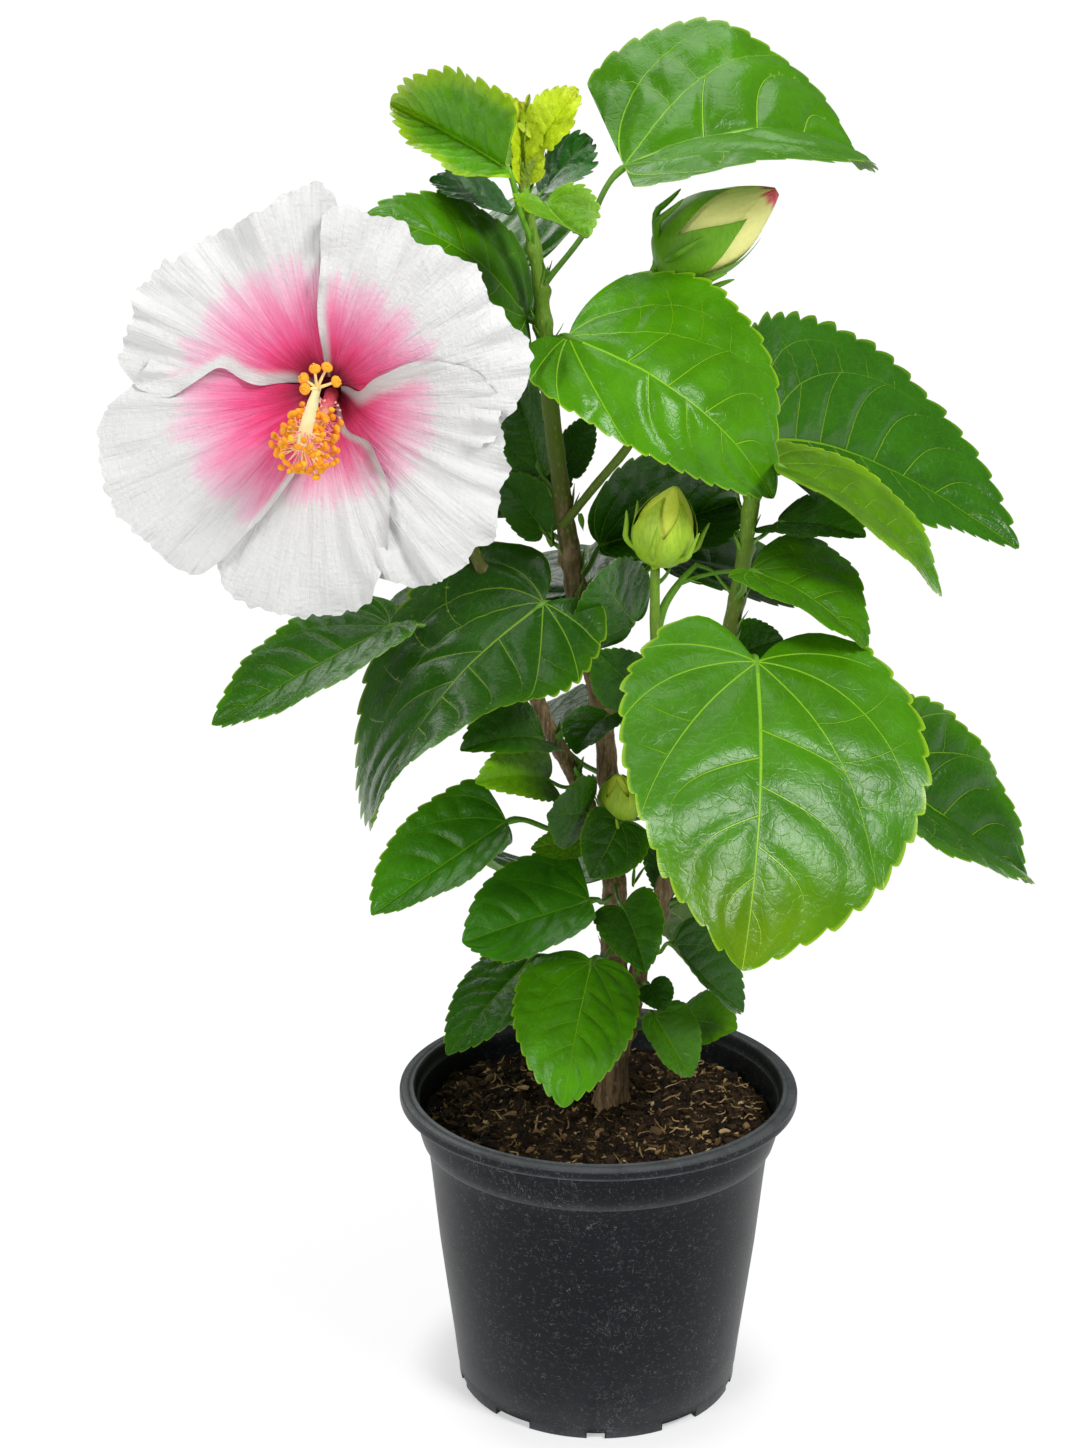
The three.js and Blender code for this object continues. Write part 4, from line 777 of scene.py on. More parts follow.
# Plain base colours; each leaf is given one, with a tip and a margin that may differ.
GREEN = {"bright": srgb(74, 142, 4), "mid": srgb(70, 132, 6), "dark": srgb(44, 98, 8), "deep": srgb(38, 84, 14), "lime": srgb(134, 184, 8),
         "yellow": srgb(100, 158, 6), "shade": srgb(58, 112, 52), "young": srgb(178, 212, 6)}
STYLE = {
    "leaf_crown_right": {"colour": GREEN["mid"] * 0.95, "rim": 0.4, "wave": 0.016, "quilt": 0.045},
    "leaf_crown_left": {"colour": srgb(84, 150, 4) * 1.15, "tip": GREEN["lime"] * 0.9, "edge_colour": GREEN["young"], "edge_mix": 0.5, "rim": 0.8, "quilt": 0.08, "wave": 0.06, "teeth": 11, "tooth": 2.0},
    "leaf_behind_bloom": {"colour": GREEN["mid"] * 0.85, "rim": 0.4},
    "leaf_upper_front": {"colour": GREEN["mid"] * 1.12, "edge_colour": GREEN["bright"], "edge_mix": 0.4, "rim": 0.6, "quilt": 0.045},
    "leaf_right_high": {"colour": GREEN["dark"] * 1.1, "rim": 0.25},
    "leaf_right_folded": {"colour": GREEN["yellow"] * 0.72, "tip": GREEN["bright"] * 0.9, "edge_colour": GREEN["lime"], "edge_mix": 0.5, "rim": 0.8},
    "leaf_right_small": {"colour": GREEN["dark"], "edge_colour": GREEN["mid"], "edge_mix": 0.5, "rim": 0.5},
    "leaf_right_middle": {"colour": GREEN["mid"] * 0.95, "edge_colour": GREEN["bright"], "edge_mix": 0.5, "rim": 0.6},
    "leaf_front_large": {"colour": GREEN["bright"] * 0.74, "tip": GREEN["lime"] * 0.52, "edge_colour": GREEN["bright"], "edge_mix": 0.3, "rim": 0.6, "teeth": 15, "quilt": 0.018, "tooth": 2.3},
    "leaf_right_low": {"colour": GREEN["dark"] * 0.85, "edge_colour": GREEN["mid"], "edge_mix": 0.6, "rim": 0.5},
    "leaf_left_large": {"colour": GREEN["deep"] * 0.95, "edge_colour": GREEN["mid"], "edge_mix": 0.35, "rim": 0.5, "quilt": 0.036, "tooth": 2.6},
    "leaf_left_high": {"colour": GREEN["dark"], "edge_colour": GREEN["mid"], "edge_mix": 0.5, "rim": 0.6},
    "leaf_left_middle": {"colour": GREEN["dark"] * 1.7, "edge_colour": GREEN["mid"], "edge_mix": 0.5, "rim": 0.6},
    "leaf_left_low": {"colour": GREEN["dark"] * 2.3, "rim": 0.4},
    "leaf_rim_left": {"colour": GREEN["dark"] * 0.95, "rim": 0.4},
    "leaf_rim_front": {"colour": GREEN["bright"] * 1.35, "edge_colour": GREEN["bright"], "edge_mix": 0.4, "rim": 0.5},
    "leaf_heart_low": {"colour": GREEN["dark"], "edge_colour": GREEN["mid"], "edge_mix": 0.4, "rim": 0.5},
    "leaf_heart_middle": {"colour": GREEN["dark"] * 0.9, "edge_colour": GREEN["mid"], "edge_mix": 0.5, "rim": 0.6},
    "leaf_rim_right": {"colour": GREEN["dark"], "rim": 0.5},
    "leaf_rim_round": {"colour": GREEN["dark"], "rim": 0.5},
    "leaf_rim_small": {"colour": GREEN["mid"], "rim": 0.5},
    "leaf_rim_rear": {"colour": GREEN["bright"], "tip": GREEN["yellow"], "rim": 0.5},
    "leaf_left_small_b": {"colour": GREEN["yellow"] * 0.85, "edge_colour": GREEN["lime"], "edge_mix": 0.4, "rim": 0.6},
    "leaf_left_small_a": {"colour": GREEN["dark"], "edge_colour": GREEN["mid"], "edge_mix": 0.5, "rim": 0.5},
    "shoot_front": {"colour": GREEN["yellow"], "edge_colour": GREEN["lime"], "edge_mix": 0.4, "rim": 0.7, "quilt": 0.06, "tooth": 1.5, "teeth": 8},
    "shoot_left": {"colour": GREEN["shade"] * 1.2, "rim": 0.1, "tooth": 1.2, "quilt": 0.05},
    "shoot_right": {"colour": srgb(44, 104, 34), "rim": 0.1, "tooth": 1.9, "quilt": 0.06, "teeth": 9},
}

stalks = Batch()
for number, (name, on, height, stalk, blade, pose) in enumerate(LEAVES):
    rng = random.Random(4100 + number)
    node = stem_at(on, height)
    foot = node[:3]
    base = foot + heading(stalk[0], stalk[1]) * stalk[2]
    style = dict(STYLE.get(name, {"colour": GREEN["dark"] * (0.95 + 0.3 * rng.random()), "edge_colour": GREEN["mid"], "edge_mix": 0.3, "rim": 0.4}))
    style["colour"] = np.array(style["colour"]) * (0.95 + 0.1 * rng.random())
    style.setdefault("waves", 2.6 + 1.6 * rng.random())
    verts, faces, slots, uvs, values, marked = leaf_mesh(base, blade, pose, style, rng, number + 3)
    b = Batch()
    b.add(verts, faces, 0, **values)
    b.slots = slots
    b.make(name + "_blade", [LEAF_TOP, LEAF_UNDER], (name,), uv=uvs, sharp=lambda ev: marked[ev[:, 0]] & marked[ev[:, 1]])
    # its stalk: a swollen foot on the stem, a soft sag, and a small swelling where it meets the blade
    out = unit(base - foot)
    surface = blade_surface(base, blade, pose)
    end = surface(np.array([min(5 / blade[2], 0.1)]), np.array([0.0]))
    end = end[0][0] - end[1][0] * 0.35
    start = foot + out * node[3] * 0.45
    bend = foot + (base - foot) * 0.5 - Z * 0.06 * stalk[2]
    line = bezier([start, bend, base * 0.97 + bend * 0.03 - Z * 0.2, end], 26)
    k = np.linspace(0, 1, 26)
    size = 1.0 if blade[2] > 48 else 0.72
    r = size * (1.15 + 0.9 * np.exp(-k / 0.05) + 0.4 * np.exp(-((k - 0.86) / 0.05) ** 2)) * (1 - 0.62 * smooth(k, 0.9, 1.0))
    v, f = tube(line, r, 10)
    green = np.array(style["colour"])
    tone = (srgb(104, 148, 40) * 0.65 + green * 0.5) * (0.8 + 0.4 * rng.random())
    stalks.add(v, f, 0, tone=tone)
stalks.make("leaf_stalks", [STALK])

# ------------------------------------------------------------------- stems
AGE = {"main_stem": [(118, 1), (320, 0.85), (352, 0.62), (400, 0.34), (440, 0.2), (480, 0.03), (510, 0)], "bough_right": [(150, 1), (240, 0.8), (300, 0.5), (360, 0.22), (402, 0.02)],
       "bough_left": [(246, 1), (300, 0.85), (345, 0.5), (400, 0.2), (436, 0)], "bough_centre": [(265, 0.55), (320, 0.3), (365, 0)], "bough_upper": [(379, 0.3), (478, 0)]}
nodes_on = {}
for name, on, height, stalk, blade, pose in LEAVES:
    nodes_on.setdefault(on, []).append((height, stalk[0]))
stems = Batch()
for seed, (name, rows) in enumerate(STEMS.items()):
    rows = [list(r) for r in rows]
    if name == "main_stem":
        rows[0][3] = 7.4
        rows.insert(0, [6.0, 6.6, 116.5, 8.6])
    else:  # a bough starts inside the stem that bears it
        a, c = np.array(rows[0]), np.array(rows[1])
        first = a - (c - a) / np.linalg.norm(c[:3] - a[:3]) * 3.2
        first[3] = a[3] * 1.15
        rows.insert(0, list(first))
    length = sum(math.dist(a[:3], b[:3]) for a, b in zip(rows, rows[1:]))
    n = int(length / 1.1)
    path = bezier(rows, n)
    sides = 36 if name == "main_stem" else 28
    a = np.linspace(0, 2 * math.pi, sides, endpoint=False)
    fr = frames(path[:, :3])
    marks = nodes_on.get(name, [])
    verts = []
    for i in range(n):
        t, u, w = fr[i]
        x, y, z, r = path[i]
        direction = np.cos(a)[:, None] * u + np.sin(a)[:, None] * w
        age = float(spline(AGE[name], z))
        rr = np.full(sides, r)
        for h, az in marks:
            face = (direction @ heading(az, 0))
            rr += r * 0.16 * math.exp(-((z - h) / 3.2) ** 2) + r * 0.42 * math.exp(-((z - h + 1.2) / 2.4) ** 2) * np.maximum(0, face) ** 3
        p = path[i, :3] + direction * r
        rough = 0.25 + 0.75 * age
        rr += rough * (0.3 * vnoise(p * np.array([0.75, 0.75, 0.16]), seed) + 0.16 * vnoise(p * np.array([1.9, 1.9, 0.45]), seed + 7) + 0.07 * vnoise(p * 3.1, seed + 9)) + 0.1 * vnoise(p * 0.12, seed + 3) * r
        ring = 0.12 * age * vnoise(stack(np.full(sides, z * 0.55), 0 * a, 0 * a), seed + 11)
        rr += ring
        if name == "main_stem":
            rr += 2.0 * math.exp(-max(0, z - 119.5) / 4.2) * (1 + 0.45 * np.sin(3 * a + 1.0) + 0.25 * np.sin(5 * a))
        verts.append(path[i, :3] + direction * rr[:, None])
    faces = [(i * sides + k, i * sides + (k + 1) % sides, (i + 1) * sides + (k + 1) % sides, (i + 1) * sides + k) for i in range(n - 1) for k in range(sides)]
    faces += [tuple(range(sides - 1, -1, -1)), tuple((n - 1) * sides + k for k in range(sides))]
    ages = np.repeat([float(spline(AGE[name], z)) for z in path[:, 2]], sides)
    tone = np.outer(1 - smooth(ages, 0, 0.5), srgb(118, 158, 44)) + np.outer(smooth(ages, 0, 0.5), srgb(84, 88, 22))
    stems.add(np.concatenate(verts), faces, 0, age=ages, tone=tone)
stems.make("stems_bark", [BARK], tuple(STEMS))

# stipules, bud scales and tiny shoots in the leaf axils, by a seeded rule
axils = Batch()


def sliver(base, az, el, length, width, curl=0.25, roll=0):
    """A narrow pointed scale, thin, with a shallow trough."""
    d = heading(az, el)
    up = unit(Z - d * d[2]) if abs(el) < 88 else np.array([1.0, 0, 0])
    side = np.cross(up, d)
    up, side = up * math.cos(rad(roll)) + side * math.sin(rad(roll)), side * math.cos(rad(roll)) - up * math.sin(rad(roll))
    k = np.linspace(0, 1, 9)
    w = width / 2 * np.sin(np.pi * np.minimum(1, k * 0.82 + 0.16)) ** 0.8 * (1 - k**3)
    mid = base + np.outer(k * length, d) + np.outer(curl * length * k**2, up)
    verts, faces = [], []
    for layer in (0, 1):
        for s in (-1, 0, 1):
            verts.append(mid + np.outer(s * w, side) + np.outer((abs(s) * 0.35 * w - layer * 0.22), up))
    verts = np.concatenate(verts)
    n = len(k)
    for i in range(n - 1):
        for c in (0, 1):
            a = c * n + i
            faces.append((a, a + n, a + n + 1, a + 1))
            b = a + 3 * n
            faces.append((b, b + 1, b + n + 1, b + n))
        faces.append((i, i + 1, i + 1 + 3 * n, i + 3 * n))
        faces.append((2 * n + i + 1, 2 * n + i, 5 * n + i, 5 * n + i + 1))
    return verts, faces


rng = random.Random(77)
for name, on, height, stalk, blade, pose in LEAVES:
    node = stem_at(on, height)
    woody = float(spline(AGE[on], height))
    for side in (-1, 1):
        if rng.random() < 0.25 + 0.4 * woody:
            continue
        az = stalk[0] + side * (38 + 20 * rng.random())
        foot = node[:3] + heading(az, 0) * node[3] * 0.9
        tone = srgb(110, 158, 44) * (0.7 + 0.5 * rng.random())
        axils.add(*sliver(foot, az, 38 + 30 * rng.random(), 5 + 4 * rng.random(), 1.5, 0.2, rng.uniform(-40, 40)), 0, tone=tone)
    if rng.random() < 0.62:  # a resting bud or a tiny shoot just above the stalk
        foot = node[:3] + heading(stalk[0], 30) * node[3] * 0.95 + Z * 1.8
        kind = rng.random()
        count = 3 if kind < 0.5 else 5
        size = rng.uniform(4, 7) if kind < 0.5 else rng.uniform(8, 13)
        for k in range(count):
            az = stalk[0] + 360 * k / count + rng.uniform(-20, 20)
            axils.add(*sliver(foot, az, 58 + 22 * rng.random(), size * rng.uniform(0.6, 1), size * rng.uniform(0.28, 0.4), 0.1, rng.uniform(-30, 30)), 0,
                      tone=srgb(96, 150, 34) * (0.75 + 0.5 * rng.random()))
axils.make("axil_buds_and_stipules", [STALK])

# a few small leaves, side twigs and erect axil shoots between the named leaves
SMALL = [  # foot of the stalk, foot of the blade, blade (azimuth, elevation, length, width), roll, fold, colour
    ((-16.5, 0, 391), (-16.1, 16, 395.6), (41, 55, 26.5, 16), -57, 16, GREEN["dark"]),
    ((52, -14.5, 330), (53.9, -8, 326.2), (35, 7, 24.9, 24), -58, 10, GREEN["dark"]),
    ((3, -3, 246), (-7.9, -16, 248.3), (-158, -1, 21.7, 13), 57, 8, GREEN["yellow"]),
    ((19, 0, 196), (32.3, 4, 219.5), (-172, 58, 26.5, 14), 85, 12, GREEN["dark"]),
]
small = Batch()
small_slots, small_marks = [], []
for k, (foot, start, blade, roll, fold, colour) in enumerate(SMALL):
    rng = random.Random(1300 + k)
    style = {"colour": colour * rng.uniform(0.9, 1.1), "edge_colour": GREEN["mid"], "edge_mix": 0.4, "rim": 0.5}
    verts, faces, slots, uvs, values, marked = leaf_mesh(np.array(start, float), blade, (roll, fold, 0.05, 0, 4, 0.15, 0, 0), style, rng, 80 + k)
    small.add(verts, faces, 0, **values)
    small_slots += slots
    small_marks.append(marked)
    foot, start = np.array(foot, float), np.array(start, float)
    line = bezier([foot, (foot + start) / 2 - Z * 1.0, start + heading(blade[0], blade[1]) * 1.5], 14)
    v, f = tube(line, np.linspace(1.2, 0.65, 14), 8)
    one = np.ones(len(v))
    small.add(v, f, 0, lx=one, ly=one * 0.5, lf=one * 0.5, seed=one, rimlit=one * 0, tone=srgb(96, 140, 40))
    small_slots += [2] * len(f)
    small_marks.append(np.zeros(len(v), bool))
small.slots = small_slots
few_marks = np.concatenate(small_marks)
small.make("small_leaves", [LEAF_TOP, LEAF_UNDER, STALK], sharp=lambda ev: few_marks[ev[:, 0]] & few_marks[ev[:, 1]])
twigs = Batch()
for rows in ([(21.6, -21.5, 336, 1.9), (25.4, -17, 348.5, 1.7), (31.4, -13.5, 356.8, 1.4), (38, -11.5, 363.6, 0.9)],
             [(31.0, -13.5, 356, 1.1), (39.1, -12, 358.6, 0.9), (46.5, -13, 360.4, 0.9), (55.2, -16, 361.6, 1.1)],
             [(37.6, -11.6, 363.2, 0.8), (43.8, -12, 360.8, 0.65), (47.8, -13, 356.4, 0.65), (53.4, -15, 350, 0.9)],
             [(21.6, -21.5, 357, 0.9), (25.6, -17, 360.2, 0.7), (28.3, -15, 366.0, 0.45)]):
    line = bezier(rows, 24)
    v, f = tube(line[:, :3], line[:, 3], 12)
    twigs.add(v, f, 0, tone=srgb(104, 158, 30))
for k, (foot, az, el, size, width) in enumerate([
        ((-11.6, -4, 385.4), 0, 81, 9, 3.2), ((-11.2, -4, 384.9), 10, 62, 6, 2.6), ((-7.6, -4, 358.5), 0, 81, 10, 3.0), ((-8.2, -4.5, 357.8), -30, 55, 6.5, 2.6),
        ((-19.6, -5, 369.0), 180, 83, 9, 2.8), ((-20.2, -4.5, 368.6), 200, 60, 6.5, 2.6), ((-8.8, -4, 382.2), -60, -70, 7.5, 2.6), ((14.0, -5, 225.2), 0, 82, 12, 2.8),
        ((14.4, -5, 226.4), 0, 55, 11, 3.0), ((57.7, -18, 376.6), -80, 84, 13, 5.0), ((59.5, -17, 385.3), -20, 62, 17, 4.6), ((58.8, -18, 384.0), -140, 70, 12, 4.4),
        ((60.2, -17, 396.0), 10, 70, 12, 3.6), ((54.6, -17, 340.2), -10, 52, 7, 2.8), ((54.4, -18, 369.6), 190, 66, 8, 3.0), ((33.6, -13.2, 357.6), -10, -18, 6, 2.4),
        ((8.6, -3, 168), -150, 50, 8, 2.6), ((9.8, 3, 166), -20, 48, 8, 2.6), ((-24, -2, 449), -170, 62, 8, 2.6), ((-25, -2, 470), -10, 68, 9, 2.8)]):
    rng = random.Random(1500 + k)
    twigs.add(*sliver(np.array(foot, float), az, el, size, width, 0.12, rng.uniform(-30, 30)), 0, tone=srgb(112, 164, 34) * rng.uniform(0.8, 1.15))
twigs.make("side_twigs_and_shoots", [STALK])

# the growing tip: erect young blades round the last node
tip = Batch()
tip_uv, tip_slots, tip_marks = [], [], []
shoot_rows = [(-30.2, 2, 502, 2.05), (-30.8, 2, 507, 1.9), (-31.3, 2, 511, 1.5), (-31.6, 2, 516, 0.8)]
for k, (start, blade, pose) in enumerate([
        ((-31.4, 1.4, 511.5), (112, 79, 30, 18), (0, 46, 0.05, 0, 6, 0.5, 0, 0)),
        ((-31.6, 2.8, 512), (128, 70, 34, 18), (10, 30, 0.05, 0, 10, 0.5, 0, 0)),
        ((-25.0, 2.2, 526), (12, 53, 24.5, 22), (-62, 36, 0.05, 0, -6, 0.4, 0, 0)),
        ((-31.0, 2.6, 511), (70, 80, 33, 9), (20, 50, 0.05, 0, 6, 0.4, 0, 0)),
        ((-30.9, 1.2, 509), (-150, 66, 13, 6), (0, 46, 0.04, 0, 0, 0.4, 0, 0)),
        ((-30.5, 1.0, 508), (-40, 62, 14, 6), (0, 46, 0.04, 0, 0, 0.4, 0, 0))]):
    rng = random.Random(900 + k)
    style = {"colour": srgb(196, 222, 30) * rng.uniform(0.85, 1.0), "tip": srgb(206, 222, 50), "rim": 0.5, "quilt": 0.075, "wave": 0.07, "teeth": 8, "tooth": 1.2}
    verts, faces, slots, uvs, values, marked = leaf_mesh(np.array(start, float), blade, pose, style, rng, 60 + k)
    tip.add(verts, faces, 0, **values)
    tip_slots += slots
    tip_marks.append(marked)
v, f = tube(bezier(shoot_rows, 24)[:, :3], bezier(shoot_rows, 24)[:, 3], 16)
stalk_rows = bezier([(-30.6, 2, 505.5, 1.3), (-28.6, 2.2, 514, 1.05), (-25.6, 2.4, 523, 0.95), (-24.4, 2.4, 528, 0.6)], 24)
sv, sf = tube(stalk_rows[:, :3], stalk_rows[:, 3], 12)
f = list(f) + [tuple(n + len(v) for n in face) for face in sf]
v = np.vstack([v, sv])
one = np.ones(len(v))
tip.add(v, f, 0, lx=one, ly=one * 0.5, lf=one * 0.5, seed=one, rimlit=one * 0, tone=srgb(128, 172, 46))
tip_slots += [2] * len(f)
tip_marks.append(np.zeros(len(v), bool))
tip.slots = tip_slots
all_marks = np.concatenate(tip_marks)
tip.make("shoot_tip_leaves", [LEAF_TOP, LEAF_UNDER, STALK], ("shoot_tip",), sharp=lambda ev: all_marks[ev[:, 0]] & all_marks[ev[:, 1]])

# ------------------------------------------------------------------- bloom
AXIS = heading(BLOOM["azimuth"], BLOOM["elevation"])
RIGHT = unit(np.cross(Z, AXIS))
UP = np.cross(AXIS, RIGHT)
CENTRE = np.array(BLOOM["centre"], float)


def bloom_at(x, y, h):
    x, y, h = np.broadcast_arrays(np.asarray(x, float), np.asarray(y, float), np.asarray(h, float))
    return CENTRE + x[..., None] * RIGHT + y[..., None] * UP + h[..., None] * AXIS


def petal_look(name, back=False):
    look = Look(name, roughness=0.62, specular=0.25, sheen=0.12, sheen_roughness=0.5)
    r, a, c = look.attribute("pr"), look.attribute("pa"), look.attribute("pc")
    streak = look.noise(look.vector(a * 34.0, r * 1.3, 0.0), 1.0, 5, 0.7)
    broad = look.noise(look.vector(a * 6.0, r * 2.0, 3.0), 1.0, 3, 0.5)
    veins = look.noise(look.vector(a * 44.0, r * 1.0, 9.0), 1.0, 2, 0.5).step(0.5, 0.66)
    reach = r + (streak - 0.5) * 0.44 + (broad - 0.5) * 0.40
    pink = look.ramp(reach.math("MULTIPLY", 0.8), [(0.0, (0.22, 0.0, 0.02)), (0.10, (0.36, 0.004, 0.05)), (0.22, (0.76, 0.015, 0.13)), (0.34, (0.92, 0.07, 0.25)),
                                                 (0.46, (0.87, 0.16, 0.36)), (0.60, (0.85, 0.32, 0.49)), (0.76, (0.80, 0.52, 0.63)), (0.90, (0.74, 0.68, 0.70)), (1.0, (0.72, 0.72, 0.71))])
    # painted shade on the crinkles: this relief noise greys the white petal where it also raises the bump
    crinkles_and_painted_shade = look.noise(look.vector(a * 60.0, r * 2.4, 5.0), 1.0, 4, 0.6)
    white = look.mix(crinkles_and_painted_shade.step(0.42, 0.75) * 0.5, (0.725, 0.725, 0.715), (0.60, 0.605, 0.595))
    edge = (c + (broad - 0.5) * 0.05).step(0.25, 0.8)
    body = look.mix(reach.step(1.12, 0.96) * edge, white, pink)
    body = look.mix(veins * reach.step(1.0, 0.3) * edge * 0.42, body, (0.66, 0.015, 0.14))
    if back:
        body = look.mix(0.7, body, white)
    look.colour(body)
    crepe = look.noise(look.vector(a * 22.0, r * 26.0, 1.0), 1.0, 4, 0.6)
    look.bump(crinkles_and_painted_shade * 1.0 + crepe * 0.9 + streak * 0.5, 0.0009, 1.0)
    return look.m


PETAL, PETAL_BACK = petal_look("petal_face"), petal_look("petal_back", True)


def petal_piece(number, name, spec):
    nc, nv = 120, 84
    c = np.linspace(0, 1, nc)
    v = np.linspace(0, 1, nv) ** 0.9
    rim = np.array(spec["rim"], float)
    a_rim = rim[0, 0] + (rim[-1, 0] - rim[0, 0]) * c
    R = spline(np.stack([-rim[:, 0], rim[:, 1]], 1), -a_rim)
    R = R + 1.5 * vnoise(stack(a_rim * 0.16, 0, number * 3.0), 5) + 1.2 * vnoise(stack(a_rim * 0.42, 0, number * 5.0), 6) + 0.6 * vnoise(stack(a_rim * 1.1, 0, number * 5.0), 8)
    R = R * (1 - 0.10 * np.exp(-c / 0.02) - 0.10 * np.exp(-(1 - c) / 0.02))
    r = 4.6 + (R[:, None] - 4.6) * v[None, :]
    left = spline(spec["left"], r)
    right = spline(spec["right"], r)
    a = left + (right - left) * c[:, None]
    C = np.broadcast_to(c[:, None], r.shape)
    V = np.broadcast_to(v[None, :], r.shape)
    h = spline(PETAL_DEPTH, r)
    ar = rad(a)
    turn = stack(np.cos(ar) * 4.2, np.sin(ar) * 4.2, r * 0.012)
    deep = 2.6 * smooth(r, 16, 74) * vnoise(turn * 0.8, 21)  # slow swells shared by all petals
    fold = 1.5 * smooth(r, 14, 60) * vnoise(stack(np.cos(ar) * 9, np.sin(ar) * 9, r * 0.016), 22)
    pleat = 0.6 * smooth(r, 10, 50) * vnoise(stack(np.cos(ar) * 21, np.sin(ar) * 21, r * 0.02), 23)
    ruffle = 4.2 * smooth(V, 0.62, 1.0) * vnoise(stack(np.cos(ar) * 10.5, np.sin(ar) * 10.5, r * 0.03 + number), 24)
    frill = 2.0 * smooth(V, 0.78, 1.0) * vnoise(stack(np.cos(ar) * 17, np.sin(ar) * 17, r * 0.05 + number), 25)
    layer = 1.1 * (0.5 - C) * smooth(r, 8, 26) * (1 - 0.45 * smooth(r, 42, 74))
    wavy = 0.65 + 0.5 * vnoise(stack(r * 0.13, 0 * r, 0 * r + number * 3.3), 31)
    lip = (spec.get("lip", 3.6) * wavy * smooth(r, 12, 30)) * np.clip(1 - C / 0.12, 0, 1) ** 1.7
    h = h + deep + fold + pleat + ruffle + frill + layer + lip
    x, y = r * np.cos(ar), r * np.sin(ar)
    top = bloom_at(x, y, h)
    gu = np.gradient(top, axis=0)
    gv = np.gradient(top, axis=1)
    n = unit(np.cross(gv, gu))
    if (n @ AXIS).mean() < 0:
        n = -n
    edge = np.zeros(r.shape, bool)
    edge[0, :] = edge[-1, :] = edge[:, -1] = edge[:, 0] = True
    low = top - n * (0.5 * (1 - edge))[..., None]
    ids = np.arange(nc * nv).reshape(nc, nv)
    inside = ~edge
    low_ids = ids.copy()
    low_ids[inside] = nc * nv + np.arange(inside.sum())
    verts = np.vstack([top.reshape(-1, 3), low[inside]])
    qa, qb, qc, qd = ids[:-1, :-1].ravel(), ids[1:, :-1].ravel(), ids[1:, 1:].ravel(), ids[:-1, 1:].ravel()
    la, lb, lc, ld = low_ids[:-1, :-1].ravel(), low_ids[1:, :-1].ravel(), low_ids[1:, 1:].ravel(), low_ids[:-1, 1:].ravel()
    u = 0.01 + 0.48 * (x - x.min()) / (x.max() - x.min())
    w = 0.01 + 0.98 * (y - y.min()) / (y.max() - y.min())
    uv = np.stack([u.ravel(), w.ravel()], 1)
    front = np.stack([qd, qc, qb, qa], 1)
    back = np.stack([la, lb, lc, ld], 1)
    test = np.cross(verts[front[0, 1]] - verts[front[0, 0]], verts[front[0, 2]] - verts[front[0, 0]])
    uv_back = np.stack([qa, qb, qc, qd], 1)
    mid = len(front) // 2
    test = sum(np.cross(verts[f[1]] - verts[f[0]], verts[f[2]] - verts[f[0]]) @ AXIS for f in front[:: 37])
    if test < 0:
        front, back, uv_back = front[:, ::-1], back[:, ::-1], uv_back[:, ::-1]
    faces = [tuple(int(i) for i in f) for f in np.vstack([front, back])]
    uvs = np.vstack([uv[front.ravel()], uv[uv_back.ravel()] + np.array([0.5, 0])])
    values = {"pr": (r / spec["pink"]).ravel(), "pa": (ar * (1 + 0 * r)).ravel(), "pc": (C * np.maximum(r, 14) / spec.get("margin", 5.5) * 1.35).ravel().copy()}
    full = {k: np.concatenate([val, val.reshape(nc, nv)[inside]]) for k, val in values.items()}
    b = Batch()
    b.add(verts, faces, 0, **full)
    b.slots = [0] * len(front) + [1] * len(back)
    marked = np.concatenate([edge.ravel(), np.zeros(inside.sum(), bool)])
    return b.make(name, [PETAL, PETAL_BACK], ("bloom",), uv=uvs, sharp=lambda ev: marked[ev[:, 0]] & marked[ev[:, 1]])


for number, (name, spec) in enumerate(PETALS.items()):
    petal_piece(number, name, spec)


# the crimson tube that the petals stand in
throat = Batch()
rings = [(1.2, -36.5), (4.4, -35.5), (6.2, -32.5), (9.5, -26.5), (13.5, -20.3), (17.0, -15.6)]
ta = np.linspace(0, 2 * math.pi, 48, endpoint=False)
pts = np.concatenate([bloom_at(np.cos(ta) * r, np.sin(ta) * r, np.full(48, h)) for r, h in rings] + [bloom_at(np.cos(ta) * (r + 0.7), np.sin(ta) * (r + 0.7), np.full(48, h - 0.7)) for r, h in rings[::-1]])
n = len(rings) * 2
tf = [(i * 48 + k, i * 48 + (k + 1) % 48, ((i + 1) % n) * 48 + (k + 1) % 48, ((i + 1) % n) * 48 + k) for i in range(n) for k in range(48)]
throat.add(pts, tf, 0, pr=np.full(len(pts), 0.03), pa=np.zeros(len(pts)), pc=np.ones(len(pts)))
throat.make("petal_tube", [PETAL], ("bloom",))


def plain_look(name, tone_rough, bump, scale, spec=0.35, shift=(0.5, 0.5, 0.5), amount=0.2):
    look = Look(name, specular=spec)
    p = look.place()
    tone = look.attribute("tone", colour=True)
    n = look.noise(p, scale, 4, 0.6)
    look.colour(look.mix(n.step(0.35, 0.75) * amount, tone, shift))
    look.roughness(n * 0.2 + tone_rough - 0.1)
    look.bump(n, bump, 1.0)
    return look.m


